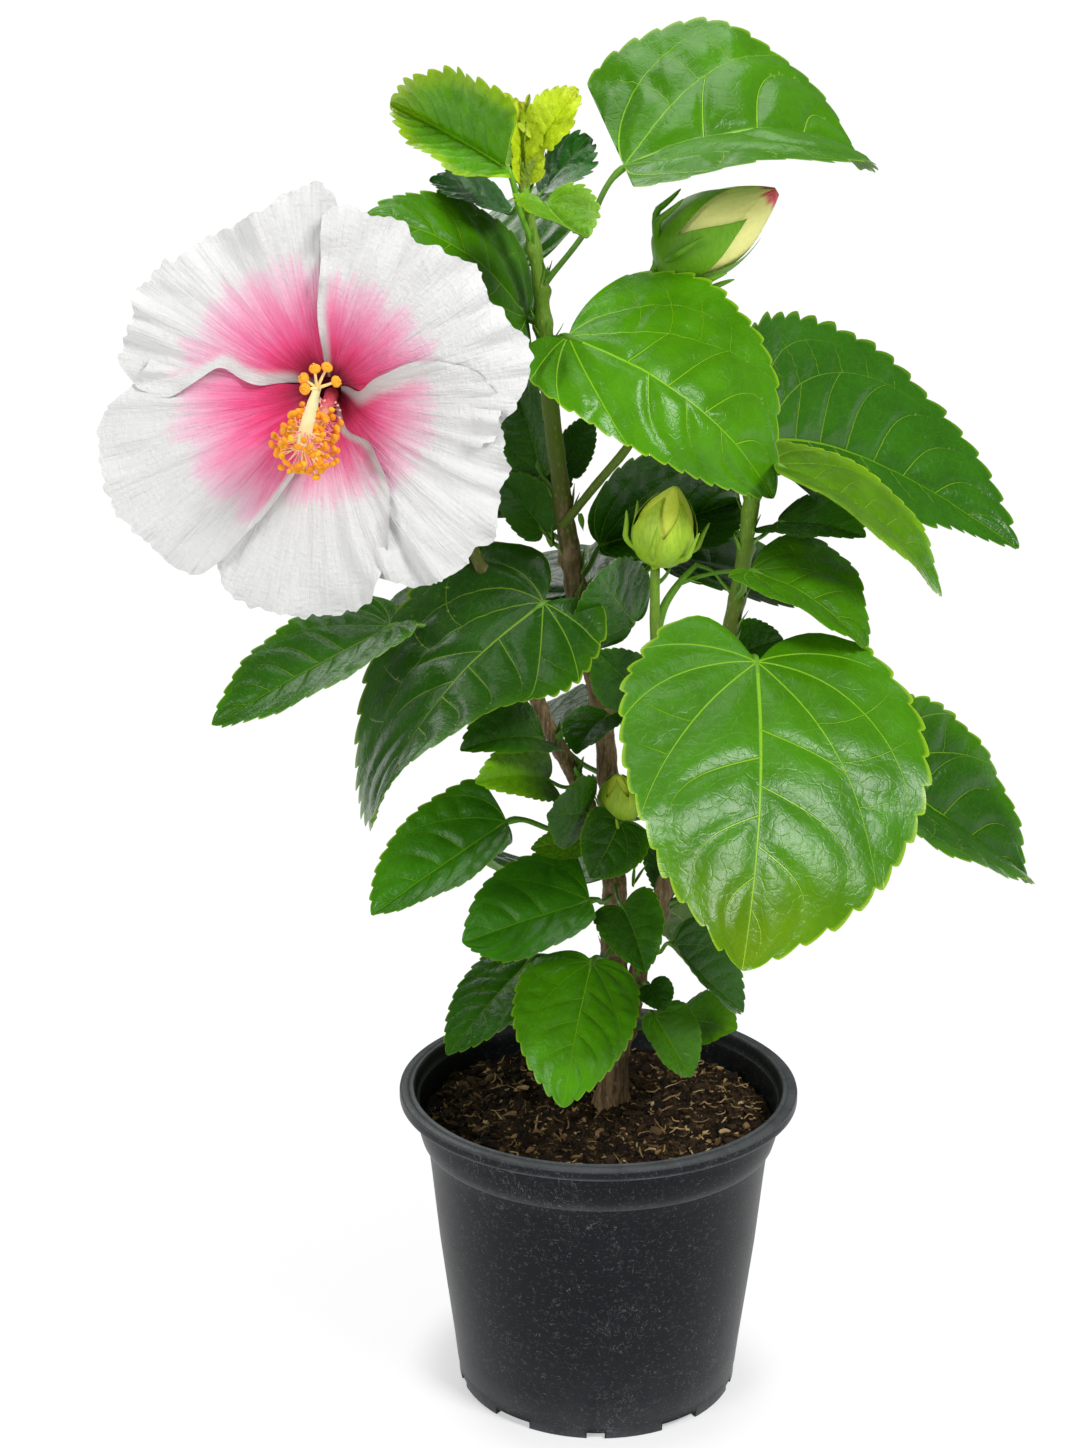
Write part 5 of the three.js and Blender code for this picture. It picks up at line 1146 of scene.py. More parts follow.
STAMEN = plain_look("stamen_column", 0.5, 0.0001, 900, shift=(0.9, 0.75, 0.5))
POLLEN = plain_look("pollen_heads", 0.7, 0.00025, 1900, shift=srgb(255, 196, 60), amount=0.5)
COLUMN = [(1, -2, -33, 2.8), (1.6, -3, -22, 2.5), (0.6, -6.5, -8, 2.2), (-1.2, -11.0, 4, 2.4), (-2.6, -14.4, 14, 2.5), (-1.4, -11.5, 22, 2.5), (1.4, -3.0, 29, 2.35), (4.4, 5.0, 33.5, 1.9), (6.4, 10.5, 36, 1.35)]
path = bezier(COLUMN, 60)
world = bloom_at(path[:, 0], path[:, 1], path[:, 2])
shaft = Batch()
v, f = tube(world, path[:, 3] * (1 + 0.05 * np.sin(np.arange(60) * 1.3)), 20)
k = np.repeat(np.linspace(0, 1, 60), 20)[:, None]
shaft.add(v, f, 0, tone=(1 - smooth(k, 0.15, 0.5)) * srgb(214, 60, 96) + smooth(k, 0.15, 0.5) * srgb(250, 236, 176))
heads = Batch()
rng = random.Random(31)
fr = frames(world)
count = 118
for i in range(count):
    s = 0.36 + 0.44 * ((i + 0.5) / count) ** 0.9
    j = int(s * 59)
    t, u, w = fr[j]
    ang = i * 2.39996 + rng.uniform(-0.3, 0.3)
    out = unit(u * math.cos(ang) + w * math.sin(ang) - t * rng.uniform(0.1, 0.55) + (-UP) * 0.25)
    length = rng.uniform(5.0, 8.8) * (0.75 + 0.5 * math.sin(math.pi * (s - 0.36) / 0.44))
    a0 = world[j] + out * path[j, 3] * 0.7
    bend = a0 + out * length * 0.6 + t * rng.uniform(-0.4, 1.2)
    end = a0 + out * length + t * rng.uniform(0.2, 1.6) + AXIS * rng.uniform(-0.5, 1.0)
    v, f = tube(bezier([a0, bend, end], 7), [0.3, 0.24, 0.22, 0.2, 0.2, 0.18, 0.16], 6)
    shaft.add(v, f, 0, tone=srgb(*rng.choice([(248, 206, 170), (246, 170, 170), (250, 222, 150), (238, 120, 140)])))
    along = unit(np.cross(out, [rng.random(), rng.random(), rng.random()]))
    v, f = ball(end + out * 0.5, along, (rng.uniform(1.5, 2.0), rng.uniform(1.05, 1.35)), 6, 8)
    heads.add(v, f, 0, tone=srgb(*rng.choice([(246, 160, 16), (238, 138, 12), (250, 180, 30), (232, 150, 40)])))
tipw = world[-1]
for x, y, h in [(2.9, 14.2, 40.5), (6.6, 17.4, 41), (10.4, 17.8, 40), (13.2, 13.2, 40), (3.6, 11.2, 43)]:
    end = bloom_at(x, y, h)
    away = unit(end - tipw)
    v, f = tube(bezier([tipw - away * 0.3, tipw + (end - tipw) * 0.5 + AXIS * 0.6, end], 9), [0.75, 0.68, 0.62, 0.58, 0.55, 0.52, 0.5, 0.5, 0.5], 10)
    shaft.add(v, f, 0, tone=srgb(250, 224, 150))
    v, f = ball(end + away * 0.8, away, (1.35, 2.15), 8, 14)
    heads.add(v, f, 0, tone=srgb(247, 152, 20))
    for q in range(12):
        d = unit([rng.uniform(-1, 1) for _ in range(3)])
        v, f = ball(end + away * 0.8 + d * np.array([1.7, 1.7, 1.7]), d, (0.38, 0.42), 4, 5)
        heads.add(v, f, 0, tone=srgb(252, 176, 44))
# short pink filaments where the column leaves the throat
for i in range(26):
    j = int((0.2 + 0.22 * rng.random()) * 59)
    t, u, w = fr[j]
    ang = rng.uniform(0, 2 * math.pi)
    out = unit(u * math.cos(ang) + w * math.sin(ang))
    a0 = world[j] + out * path[j, 3] * 0.8
    v, f = tube(bezier([a0, a0 + out * 2.5 + t * 0.8, a0 + out * 4.6 + t * 2.2], 6), [0.24, 0.22, 0.2, 0.2, 0.18, 0.15], 5)
    shaft.add(v, f, 0, tone=srgb(240, 150, 170))
    v, f = ball(a0 + out * 4.8 + t * 2.3, t, (0.7, 0.55), 5, 6)
    heads.add(v, f, 0, tone=srgb(240, 170, 160))
shaft.make("stamen_column", [STAMEN], ("bloom",))
heads.make("pollen_and_stigma", [POLLEN], ("bloom",))

SEPAL = twig_look("sepal", (srgb(70, 116, 24), srgb(150, 184, 70)), 0.0001, 0.5)


def sepal_cup(origin, axis, profile, top, lobes, turn, tone_a, tone_b, thick=0.5, nt=90, nv=26, spread=None, sunk=0.16):
    """A cup round an axis whose rim runs up into pointed lobes. profile gives radius along the axis, top gives (low, high) of the rim."""
    side = unit(np.cross(axis, [0.2, 0.9, 0.35]))
    other = np.cross(axis, side)
    th = np.linspace(0, 2 * math.pi, nt, endpoint=False)
    saw = np.abs(((th * lobes / (2 * math.pi) + turn) % 1) - 0.5) * 2  # 1 at the notch, 0 at the point
    high = top[0] + (top[1] - top[0]) * (1 - saw) ** 0.85
    v = np.linspace(0, 1, nv)
    s = v[None, :] * high[:, None]
    r = spline(profile, s)
    ridge = 0.35 * np.cos(th * lobes + turn * 2 * math.pi + math.pi)[:, None] * smooth(v, 0.1, 0.6)[None, :] * -1
    r = r + ridge * 0.4 + sunk * vnoise(stack(np.cos(th)[:, None] * 3 + 0 * s, np.sin(th)[:, None] * 3 + 0 * s, s * 0.12), 41)
    if spread is not None:
        r = r + spread * smooth(v, 0.55, 1.0)[None, :] * (1 - saw)[:, None] * 1.0
    outp = origin + s[..., None] * axis + r[..., None] * (np.cos(th)[:, None, None] * side + np.sin(th)[:, None, None] * other)
    rin = r - thick * (1 - 0.8 * v[None, :] ** 4)
    inp = origin + s[..., None] * axis + rin[..., None] * (np.cos(th)[:, None, None] * side + np.sin(th)[:, None, None] * other)
    verts = np.vstack([outp.reshape(-1, 3), inp.reshape(-1, 3)])
    faces = []
    n = nt * nv
    for i in range(nt):
        i2 = (i + 1) % nt
        for j in range(nv - 1):
            a, b = i * nv + j, i2 * nv + j
            faces.append((a, b, b + 1, a + 1))
            faces.append((a + n, a + 1 + n, b + 1 + n, b + n))
        a, b = i * nv + nv - 1, i2 * nv + nv - 1
        faces.append((a, b, b + n, a + n))
        a, b = i * nv, i2 * nv
        faces.append((b, a, a + n, b + n))
    k = (smooth(v, 0.2, 1.0)[None, :] * np.ones(nt)[:, None]).ravel()[:, None]
    tone = tone_a * (1 - k) + tone_b * k
    return verts, faces, np.vstack([tone, tone])


green_parts = Batch()
origin = bloom_at(0, 0, -47.5)
profile = [(0, 2.6), (3, 6.2), (8, 8.4), (14, 9.3), (20, 11.2), (26, 14.0), (31, 17.5)]
v, f, tone = sepal_cup(origin, AXIS, profile, (15, 30), 5, 0.1, srgb(96, 150, 40), srgb(120, 170, 60), 0.7)
green_parts.add(v, f, 0, tone=tone)
for k in range(7):
    ang = 360 * k / 7 + 12
    radial = RIGHT * math.cos(rad(ang)) + UP * math.sin(rad(ang))
    s = np.linspace(0, 1, 12)
    line = origin + AXIS * (1.5 + 15 * s[:, None]) + radial * (3.2 + 9.5 * s[:, None] ** 0.8 + 1.5 * np.sin(s * 3)[:, None])
    v, f = tube(line, 1.25 * (1 - s**2.2) + 0.15, 8)
    green_parts.add(v, f, 0, tone=srgb(92, 146, 40))
end = np.array(STEMS["bough_left"][-1][:3], float)
s = bezier([end - np.array([3.8, -6, 0.6]) * 0.2, (end + origin) / 2 + np.array([0, 0, 0.6]), origin + AXIS * 1.5], 20)
v, f = tube(s, np.linspace(2.0, 2.7, 20), 14)
green_parts.add(v, f, 0, tone=srgb(104, 154, 46))
green_parts.make("bloom_calyx", [SEPAL], ("bloom",))

# -------------------------------------------------------------------- buds
BUD_PETAL = plain_look("bud_petal", 0.5, 0.00025, 500, shift=srgb(240, 230, 140), amount=0.3)
for number, (name, spec) in enumerate(BUDS.items()):
    foot, tipp = np.array(spec["foot"], float), np.array(spec["tip"], float)
    axis = unit(tipp - foot)
    length = np.linalg.norm(tipp - foot)
    R, wd = spec["radius"], spec["widest"]

    def body(k):
        k = np.clip(k, 0, 1)
        return R * np.where(k < wd, np.sqrt(np.maximum(0, 1 - (1 - k / wd) ** 2)), np.cos(((np.clip(k, wd, 1) - wd) / (1 - wd)) * 1.5) ** 0.85)

    side = unit(np.cross(axis, [0.2, 0.9, 0.35]))
    other = np.cross(axis, side)
    nt, nk = 100, 60
    th = np.linspace(0, 2 * math.pi, nt, endpoint=False)
    k = np.linspace(0.06, 1, nk)
    spiral = ((th[:, None] / (2 * math.pi) * 5 + k[None, :] * 1.15 + 0.2 * number) % 1)
    overlap = 0.085 * (spiral**0.7) - 0.05
    r = body(k)[None, :] * (0.93 + overlap * smooth(k, 0.1, 0.5)[None, :]) + 0.12 * vnoise(stack(np.cos(th)[:, None] * 9 + 0 * spiral, np.sin(th)[:, None] * 9 + 0 * spiral, k[None, :] * 2 + 0 * spiral), 51)
    r = np.maximum(r, 0.25)
    verts = foot + (k[None, :] * length)[..., None] * axis + r[..., None] * (np.cos(th)[:, None, None] * side + np.sin(th)[:, None, None] * other)
    faces = [(i * nk + j, ((i + 1) % nt) * nk + j, ((i + 1) % nt) * nk + j + 1, i * nk + j + 1) for i in range(nt) for j in range(nk - 1)]
    faces += [tuple(i * nk for i in range(nt - 1, -1, -1)), tuple(i * nk + nk - 1 for i in range(nt))]
    kk = np.broadcast_to(k[None, :], (nt, nk))
    cream, lime = srgb(255, 252, 160), srgb(204, 226, 70)
    if name == "bud_upper":
        tone = cream * (1 - smooth(kk, 0.3, 0.0)[..., None]) + lime * smooth(kk, 0.3, 0.0)[..., None]
        seam = smooth(spiral, 0.82, 1.0)[..., None] * 0.45
        tone = tone * (1 - seam) + srgb(196, 206, 84) * seam
        pink = smooth(kk + 0.06 * vnoise(stack(th[:, None] * 3 + 0 * kk, kk * 4, 0 * kk), 3), 0.905, 0.97)[..., None]
        tone = tone * (1 - pink) + srgb(238, 70, 110) * pink
    else:
        tone = srgb(206, 224, 62) * np.ones((nt, nk, 1))
        seam = smooth(spiral, 0.8, 1.0)[..., None] * 0.5
        tone = tone * (1 - seam) + srgb(160, 190, 40) * seam
    b = Batch()
    b.add(verts.reshape(-1, 3), faces, 0, tone=tone.reshape(-1, 3))
    b.make(name + "_petals", [BUD_PETAL], (name,))
    cup = Batch()
    rows = [(q * length, max(1.5, float(body(q)) + (0.75 if q > 0.05 else 0.2))) for q in np.linspace(0, 1, 16)]
    if name == "bud_upper":
        ta, tb, low, high = srgb(100, 160, 10), srgb(110, 168, 18), 0.26, spec["open"] + 0.12
    else:
        ta, tb, low, high = srgb(150, 190, 40), srgb(176, 206, 52), 0.42 if name == "bud_centre" else 0.7, spec["open"] + 0.1
    v, f, tone = sepal_cup(foot, axis, rows, (low * length, min(0.985, high) * length), 5, spec["turn"] / 72, ta, tb, 0.55)
    cup.add(v, f, 0, tone=tone)
    # the ring of narrow bracts below the calyx, curved away from it
    for q in range(spec["bracts"]):
        ang = 2 * math.pi * q / spec["bracts"] + 0.4
        radial = side * math.cos(ang) + other * math.sin(ang)
        s = np.linspace(0, 1, 14)
        reach = spec["bract"] * length
        line = foot + axis * (0.4 + reach * s[:, None] ** 1.1) + radial * (1.8 + (R + 1.6) * (smooth(s, 0, 0.55)[:, None]) * 0.96 + 2.4 * (s[:, None] ** 3))
        w = 1.05 * np.sin(np.pi * (0.12 + 0.88 * s)) ** 0.6 + 0.12
        v, f = tube(line, w * R / 14 + 0.1, 8)
        cup.add(v, f, 0, tone=(ta * 0.9))
    # the swollen joint and its stalk
    if name == "bud_low":
        a0 = stem_at("main_stem", 250)[:3]
        line = bezier([a0, (a0 + foot) / 2 + np.array([0, -1.5, -1.5]), foot + axis * 0.6], 18)
    else:
        prev = np.array(STEMS["bough_upper" if name == "bud_upper" else "bough_centre"][-1][:3], float)
        below = np.array(STEMS["bough_upper" if name == "bud_upper" else "bough_centre"][-2][:3], float)
        line = bezier([prev - unit(prev - below) * 2, prev + unit(prev - below) * 0.4, foot + axis * 1.2], 14)
    k = np.linspace(0, 1, len(line))
    v, f = tube(line, 1.45 + 1.5 * smooth(k, 0.55, 1.0), 14)
    cup.add(v, f, 0, tone=(ta + tb) / 2)
    cup.make(name + "_calyx", [SEPAL], (name,))

# ------------------------------------------------------------- potting mix
def soil_look():
    look = Look("potting_mix", specular=0.15)
    p = look.place()
    big = look.noise(p, 90, 5, 0.65)
    fine = look.noise(p, 620, 5, 0.7)
    grit = look.cells(p, 420, "F1")
    base = look.ramp(fine * 0.55 + big * 0.45, [(0.34, srgb(14, 10, 8)), (0.47, srgb(38, 28, 19)), (0.58, srgb(74, 56, 36)), (0.72, srgb(132, 106, 70))])
    base = look.mix(grit.step(0.2, 0.06) * fine.step(0.5, 0.62) * 0.7, base, srgb(176, 142, 92))
    look.colour(base)
    look.roughness(fine * 0.15 + 0.8)
    look.bump(fine * 0.8 + grit * 0.6 + big * 0.5, 0.0016, 1.0)
    return look.m


def fibre_look():
    look = Look("coir_and_bark", specular=0.15)
    p = look.place()
    grain = look.noise(p, 1500, 4, 0.7)
    tone = look.attribute("tone", colour=True)
    look.colour(look.mix(grain.step(0.35, 0.75) * 0.5, tone, srgb(44, 30, 20)))
    look.roughness(grain * 0.2 + 0.7)
    look.bump(grain, 0.0004, 1.0)
    return look.m


def soil_height(x, y):
    p = stack(x, y, 0 * np.asarray(x))
    r = np.hypot(x, y)
    away = np.hypot(x - 6, y - 6.5)
    z = SOIL_LEVEL + 0.2 + 1.9 * fractal(p * 0.055, 71, 4) + 3.0 * fractal(p * 0.15, 72, 3) * smooth(away, 4, 12) + 1.5 * fractal(p * 0.48, 73, 2)
    z = z + 1.6 * np.exp(-((away / 16) ** 2)) - 1.8 * smooth(r, 62, 75)
    return z


nr, na = 110, 260
rr = np.linspace(0, 1, nr) ** 0.8 * 75.2
aa = np.linspace(0, 2 * math.pi, na, endpoint=False)
x, y = rr[:, None] * np.cos(aa), rr[:, None] * np.sin(aa)
z = soil_height(x, y)
z = np.where(rr[:, None] > 74.9, z - 3, z)
verts = np.stack([x, y, z], -1).reshape(-1, 3)
faces = [(i * na + k, (i + 1) * na + k, (i + 1) * na + (k + 1) % na, i * na + (k + 1) % na) for i in range(1, nr - 1) for k in range(na)]
faces += [(0, na + k, na + (k + 1) % na) for k in range(na)]
soil = Batch()
# the unseen sides and foot of the soil follow the pot's inner wall
low = len(verts)
rings = [(109, 70.8), (70, 66.9), (30, 61.6), (8, 57.6)]
extra = [np.stack([np.cos(aa) * r, np.sin(aa) * r, 0 * aa + h], 1) for h, r in rings]
verts = np.vstack([verts] + extra)
prev = (nr - 1) * na
for q in range(len(rings)):
    o = low + q * na
    faces += [(prev + k, o + k, o + (k + 1) % na, prev + (k + 1) % na) for k in range(na)]
    prev = o
faces.append(tuple(prev + k for k in range(na - 1, -1, -1)))
soil.add(verts, faces, 0)
soil.make("potting_mix_surface", [soil_look()], ("soil",))

crumbs = Batch()
rng = random.Random(505)
TONES = [(214, 186, 134), (186, 154, 106), (150, 120, 80), (108, 84, 56), (66, 50, 36), (38, 29, 22), (24, 19, 15)]
WEIGHT = [10, 16, 16, 16, 16, 14, 12]
for i in range(420):  # coir fibres
    a, r = rng.uniform(0, 2 * math.pi), 73.5 * math.sqrt(rng.random())
    cx, cy = r * math.cos(a), r * math.sin(a)
    if math.hypot(cx - 6, cy - 6.5) < 9:
        continue
    length = rng.uniform(2.5, 9) * (1.6 if rng.random() < 0.10 else 0.8)
    az = rng.uniform(0, 360)
    bend = rng.uniform(-60, 60)
    pts = []
    for q in np.linspace(-0.5, 0.5, 6):
        d = heading(az + bend * q, 0)
        px, py = cx + d[0] * q * length, cy + d[1] * q * length
        rad_p = math.hypot(px, py)
        if rad_p > 74:
            px, py = px * 74 / rad_p, py * 74 / rad_p
        pts.append([px, py, float(soil_height(np.array(px), np.array(py))) + rng.uniform(0.1, 0.5)])
    pts = np.array(pts)
    pts[:, 2] = np.maximum(pts[:, 2], pts[:, 2].mean()) + 0.6 * rng.random() + (np.linspace(0, 1, 6) * rng.uniform(0, 2.6) if rng.random() < 0.3 else 0)
    w = rng.uniform(0.16, 0.42)
    v, f = tube(pts, [w * 0.5, w, w, w, w, w * 0.4], 4)
    crumbs.add(v, f, 0, tone=srgb(*rng.choices(TONES, WEIGHT)[0]) * rng.uniform(0.7, 1.15))
for i in range(150):  # dark clods
    a, r = rng.uniform(0, 2 * math.pi), 70 * math.sqrt(rng.random())
    cx, cy = r * math.cos(a), r * math.sin(a)
    if math.hypot(cx - 6, cy - 6.5) < 14:
        continue
    size = rng.uniform(1.6, 3.4)
    c = np.array([cx, cy, float(soil_height(np.array(cx), np.array(cy))) - size * 0.1])
    v, f = ball(c, unit([rng.uniform(-1, 1), rng.uniform(-1, 1), rng.uniform(-0.3, 0.3)]), (size * rng.uniform(0.9, 1.5), size * rng.uniform(0.5, 0.8)), 7, 10)
    v = v + (0.32 * size * fractal(v * 0.9, 81 + i % 7, 3))[:, None] * unit(v - c)
    crumbs.add(v, f, 0, tone=srgb(*rng.choices(TONES, [0, 1, 3, 8, 20, 26, 18])[0]) * rng.uniform(0.7, 1.1))
for i in range(3600):  # bark chips and crumbs
    a, r = rng.uniform(0, 2 * math.pi), 72.5 * math.sqrt(rng.random())
    cx, cy = r * math.cos(a), r * math.sin(a)
    if math.hypot(cx - 6, cy - 6.5) < 10:
        continue
    size = rng.choice([0.35, 0.5, 0.65, 0.9, 1.4]) * rng.uniform(0.7, 1.25)
    c = np.array([cx, cy, float(soil_height(np.array(cx), np.array(cy))) + size * 0.25])
    ax = unit([rng.uniform(-1, 1), rng.uniform(-1, 1), rng.uniform(-0.35, 0.35)])
    v, f = ball(c, ax, (size * rng.uniform(0.9, 1.9), size * rng.uniform(0.4, 0.7)), 4, 6)
    v = v + 0.5 * size * np.array([rng.uniform(-1, 1) for _ in range(len(v))])[:, None] * unit(v - c)
    crumbs.add(v, f, 0, tone=srgb(*rng.choices(TONES, [4, 7, 9, 13, 22, 26, 22])[0]) * rng.uniform(0.7, 1.1))
crumbs.make("coir_fibres_and_chips", [fibre_look()], flat=True)

# --------------------------------------------------------------------- pot
def pot_look():
    look = Look("pot_plastic", specular=0.17)
    p = look.place()
    wide = look.noise(p, 16, 5, 0.7)
    cloud = look.noise(p, 70, 6, 0.72)
    speck = look.noise(p, 520, 4, 0.75)
    dots = look.cells(p, 330, "F1")
    warp = look.noise(p, 55, 4, 0.65)
    lift = look.attribute("dust")
    # thin rubbed lines: ridges of a stretched, torn noise, broken up by a second one
    a = look.noise(look.scaled(p, 1, 1, 2.3), 95, 5, 0.72, 1.6)
    b = look.noise(look.scaled(p, 1, 1, 1.2), 210, 4, 0.7, 1.1)
    line = ((a - 0.5).abs().step(0.006, 0.002) * speck.step(0.50, 0.58)).max((b - 0.5).abs().step(0.007, 0.002) * speck.step(0.56, 0.63) * 0.6)
    torn = look.noise(look.scaled(p, 1, 1, 0.55), 130, 3, 0.55, 2.4)
    line = line.max((torn - 0.5).abs().step(0.006, 0.002) * wide.step(0.52, 0.58) * warp.step(0.47, 0.53) * 0.6)
    dust = cloud.step(0.5, 0.85) * 0.35 + wide.step(0.45, 0.8) * 0.25 + speck.step(0.56, 0.8) * 0.3
    base = look.mix(dust * 0.10, srgb(7, 11, 16), srgb(86, 91, 98))
    base = look.mix(line * 0.62, base, srgb(176, 180, 180))
    base = look.mix(dots.step(0.12, 0.05) * speck.step(0.58, 0.63) * 0.6, base, srgb(165, 165, 160))
    # the per-vertex value from the pot table lightens the plastic: dust, and on the rim painted light, a lighter top, a
    # painted highlight line under the lip, and painted shade on the outer rim face and the undercut below it
    base = look.mix(lift * (cloud.step(0.25, 0.65) * 0.5 + 0.5) * 0.5, base, srgb(128, 132, 136))
    look.colour(base)
    look.roughness(dust * 0.25 + line * 0.2 + 0.36)
    look.bump(speck * 0.4 + cloud * 0.3 + line * 0.6, 0.00012, 1.0)
    return look.m


# outer wall from the foot up and over the rim, then down inside to the floor: (radius, height, how much lighter: dust,
# and painted light on the rim and the shoulder ledge)
POT = [(60.4, 0, .5), (60.55, 0.35, .45), (60.8, 5.2, .25), (61.05, 7.2, .2), (61.35, 7.7, .2), (62.6, 19, .1), (65.7, 43, .02), (68.6, 66, .0), (70.3, 83, .0), (71.7, 97, .0), (72.6, 105, .0),
       (73.2, 110.9, .04), (73.4, 111.8, .1), (73.7, 112.1, .25), (75.2, 112.5, .3), (75.65, 112.8, .5), (75.85, 113.4, .35), (76.6, 116, .05), (77.3, 119, .0), (77.75, 122.5, .0), (78.0, 128.8, .0), (78.4, 129.7, .0), (79.6, 130.2, .0),
       (84.0, 130.4, .0), (84.6, 130.5, .5), (84.9, 130.75, .85), (85.0, 131.3, .3), (85.0, 131.8, .04), (85.0, 133.6, .04), (84.8, 134.5, .6), (84.1, 135.0, .9), (81.6, 135.0, .85), (80.9, 134.85, .5), (80.2, 135.2, .9), (79.2, 135.3, .95), (78.75, 135.0, .8),
       (78.45, 134.2, .5), (78.2, 131.5, .2), (77.2, 129.8, .25), (76.6, 129.4, .3), (76.35, 128.6, .2), (76.2, 124, .1), (75.7, 119.4, .1), (74.0, 114.4, .1), (71.6, 112, .1), (63.9, 43, .1), (59.4, 9, .1), (58.0, 6.5, .1), (52, 6.3, .1), (14, 6.3, .1), (0.5, 6.3, .1)]
UNDER = [(0.5, 0, .3), (13.4, 0, .4), (14, 0.4, .4), (14.8, 4.1, .2), (52, 4.2, .2), (56.8, 4.2, .2), (57.2, 3.8, .3), (57.4, 0.3, .5), (57.7, 0, .5)]
sides = 240
aa = np.linspace(0, 2 * math.pi, sides, endpoint=False)
rows = UNDER + POT
verts, dust = [], []
for r, h, d in rows:
    verts.append(np.stack([r * np.cos(aa), r * np.sin(aa), np.full(sides, float(h))], 1))
    dust += [d] * sides
faces = [(i * sides + k, i * sides + (k + 1) % sides, (i + 1) * sides + (k + 1) % sides, (i + 1) * sides + k) for i in range(len(rows) - 1) for k in range(sides)]
faces += [tuple(k for k in range(sides - 1, -1, -1)), tuple((len(rows) - 1) * sides + k for k in range(sides))]
pot = Batch()
pot.add(np.concatenate(verts), faces, 0, dust=np.array(dust))
pot_ob = pot.make("nursery_pot", [pot_look()], ("pot",))
cutter = Batch()


def cut_box(angle, width, height, depth=16, radius=60):
    d, s = heading(angle, 0), heading(angle + 90, 0)
    c = d * (radius - 1)
    v = [c + d * (sx * depth / 2) + s * (sy * width / 2) + Z * (sz * height) for sz in (-1, 1) for sx, sy in ((-1, -1), (1, -1), (1, 1), (-1, 1))]
    return np.array(v), [(3, 2, 1, 0), (4, 5, 6, 7), (0, 1, 5, 4), (1, 2, 6, 5), (2, 3, 7, 6), (3, 0, 4, 7)]


for i in range(5):
    turn = -90 + 72 * i
    cutter.add(*cut_box(turn + 36, 2 * 60.4 * math.sin(rad(8.5)), 3.0))
    cutter.add(*cut_box(turn, 7.5, 2.6))
for i in range(4):
    c = heading(45 + 90 * i, 0) * 36
    line = np.array([c + Z * (-2), c + Z * 9])
    cutter.add(*tube(line, 6, 40))
me = bpy.data.meshes.new("cutter")
me.from_pydata((np.concatenate(cutter.v) * 0.001).tolist(), [], cutter.f)
cut_ob = bpy.data.objects.new("cutter", me)
bpy.context.scene.collection.objects.link(cut_ob)
mod = pot_ob.modifiers.new("cut", "BOOLEAN")
mod.operation, mod.object, mod.solver = "DIFFERENCE", cut_ob, "EXACT"
bpy.context.view_layer.update()
baked = bpy.data.meshes.new_from_object(pot_ob.evaluated_get(bpy.context.evaluated_depsgraph_get()))
pot_ob.modifiers.clear()
pot_ob.data = baked
bpy.data.objects.remove(cut_ob)
baked.polygons.foreach_set("use_smooth", [True] * len(baked.polygons))
bpy.context.view_layer.objects.active = pot_ob
baked.set_sharp_from_angle(angle=rad(38))

# -------------------------------------------------------- stage and camera
floor_look = Look("studio_floor", roughness=0.9, specular=0.0)
away = floor_look.reach(floor_look.place())
# the floor glows evenly white far out; close to the pot's foot it glows less and takes more of the lamps' light,
# painted shade that deepens the contact shadow round the foot
near = floor_look.mix(away.step(0.062, 0.088), (0.60, 0.60, 0.60), (0.12, 0.12, 0.12))
floor_look.colour(floor_look.mix(away.step(0.35, 1.3), near, (0.0, 0.0, 0.0)))
floor_look.p.inputs["Emission Color"].default_value = (1, 1, 1, 1)
glow = away.step(0.062, 0.088) * 0.46 + away.step(0.35, 1.3) * 0.12 + 0.45
floor_look.nt.links.new(glow.out, floor_look.p.inputs["Emission Strength"])
me = bpy.data.meshes.new("floor")
me.from_pydata([(-30, -30, -0.0002), (30, -30, -0.0002), (30, 30, -0.0002), (-30, 30, -0.0002)], [], [(0, 1, 2, 3)])
me.materials.append(floor_look.m)
floor = bpy.data.objects.new("floor", me)
bpy.context.scene.collection.objects.link(floor)

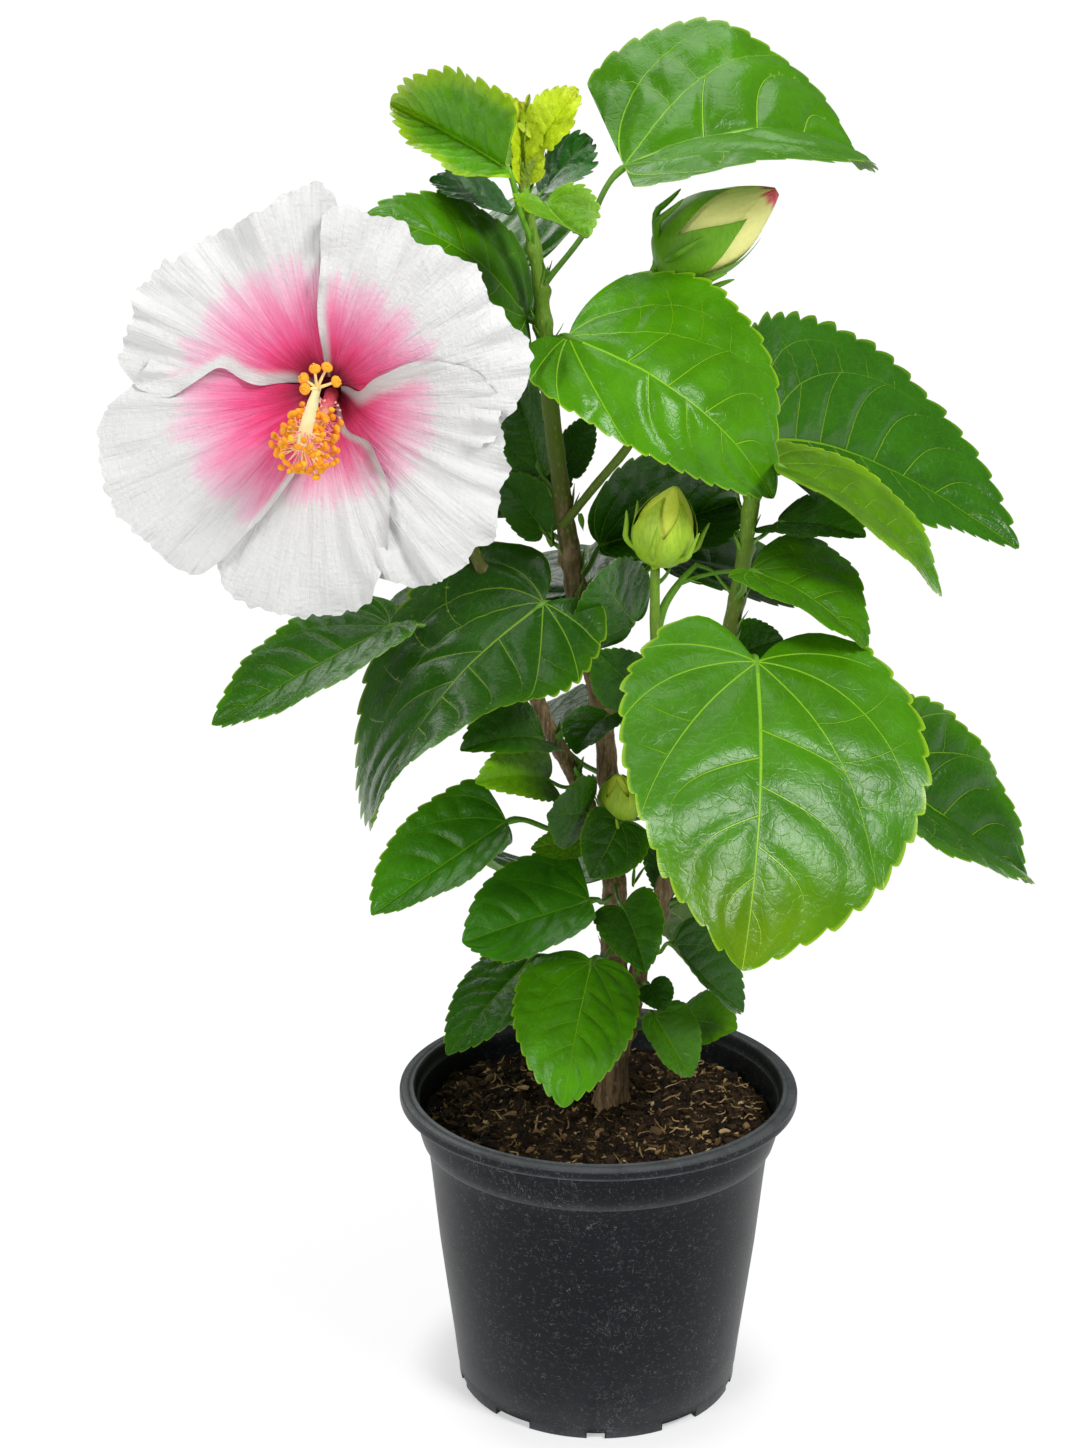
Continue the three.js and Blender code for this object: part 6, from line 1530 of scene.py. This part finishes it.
world = bpy.data.worlds.new("studio")
bpy.context.scene.world = world
world.use_nodes = True
nt = world.node_tree
bg = nt.nodes["Background"]
bg.inputs["Color"].default_value = (1, 1, 1, 1)
path = nt.nodes.new("ShaderNodeLightPath")
mixer = nt.nodes.new("ShaderNodeMath")
mixer.operation = "MULTIPLY_ADD"
nt.links.new(path.outputs["Is Camera Ray"], mixer.inputs[0])
WORLD = 0.17
mixer.inputs[1].default_value = 1.02 - WORLD
mixer.inputs[2].default_value = WORLD
nt.links.new(mixer.outputs[0], bg.inputs["Strength"])


def softbox(name, place, target, size, power, colour=(1, 1, 1)):
    light = bpy.data.lights.new(name, "AREA")
    light.shape, light.size, light.size_y = "RECTANGLE", size[0], size[1]
    light.energy, light.color = power, colour
    ob = bpy.data.objects.new(name, light)
    ob.location = place
    ob.rotation_euler = (np_to_vec(target) - np_to_vec(place)).to_track_quat("-Z", "Y").to_euler()
    bpy.context.scene.collection.objects.link(ob)
    return ob


def np_to_vec(v):
    from mathutils import Vector

    return Vector(v)


softbox("key", (0.95, -1.0, 1.45), (0, 0, 0.3), (0.55, 0.55), 25)
softbox("fill", (-1.3, -1.3, 0.9), (0, 0, 0.3), (0.7, 0.7), 13)
softbox("top", (0.0, 0.3, 2.0), (0, 0, 0.2), (1.2, 1.2), 17)
softbox("back", (-0.6, 1.4, 1.3), (0, 0, 0.3), (1.0, 0.8), 7)

cam = bpy.data.cameras.new("camera")
cam.sensor_fit, cam.sensor_height, cam.lens = "VERTICAL", 36, 57.72
cam.clip_start, cam.clip_end = 0.05, 100
cam_ob = bpy.data.objects.new("camera", cam)
cam_ob.location = (0, -0.91765, 0.54967)
cam_ob.rotation_euler = (np_to_vec((-0.02363, 0, 0.29385)) - np_to_vec(cam_ob.location)).to_track_quat("-Z", "Y").to_euler()
bpy.context.scene.collection.objects.link(cam_ob)
bpy.context.scene.camera = cam_ob
bpy.context.scene.view_settings.view_transform = "Standard"
bpy.context.scene.view_settings.look = "None"
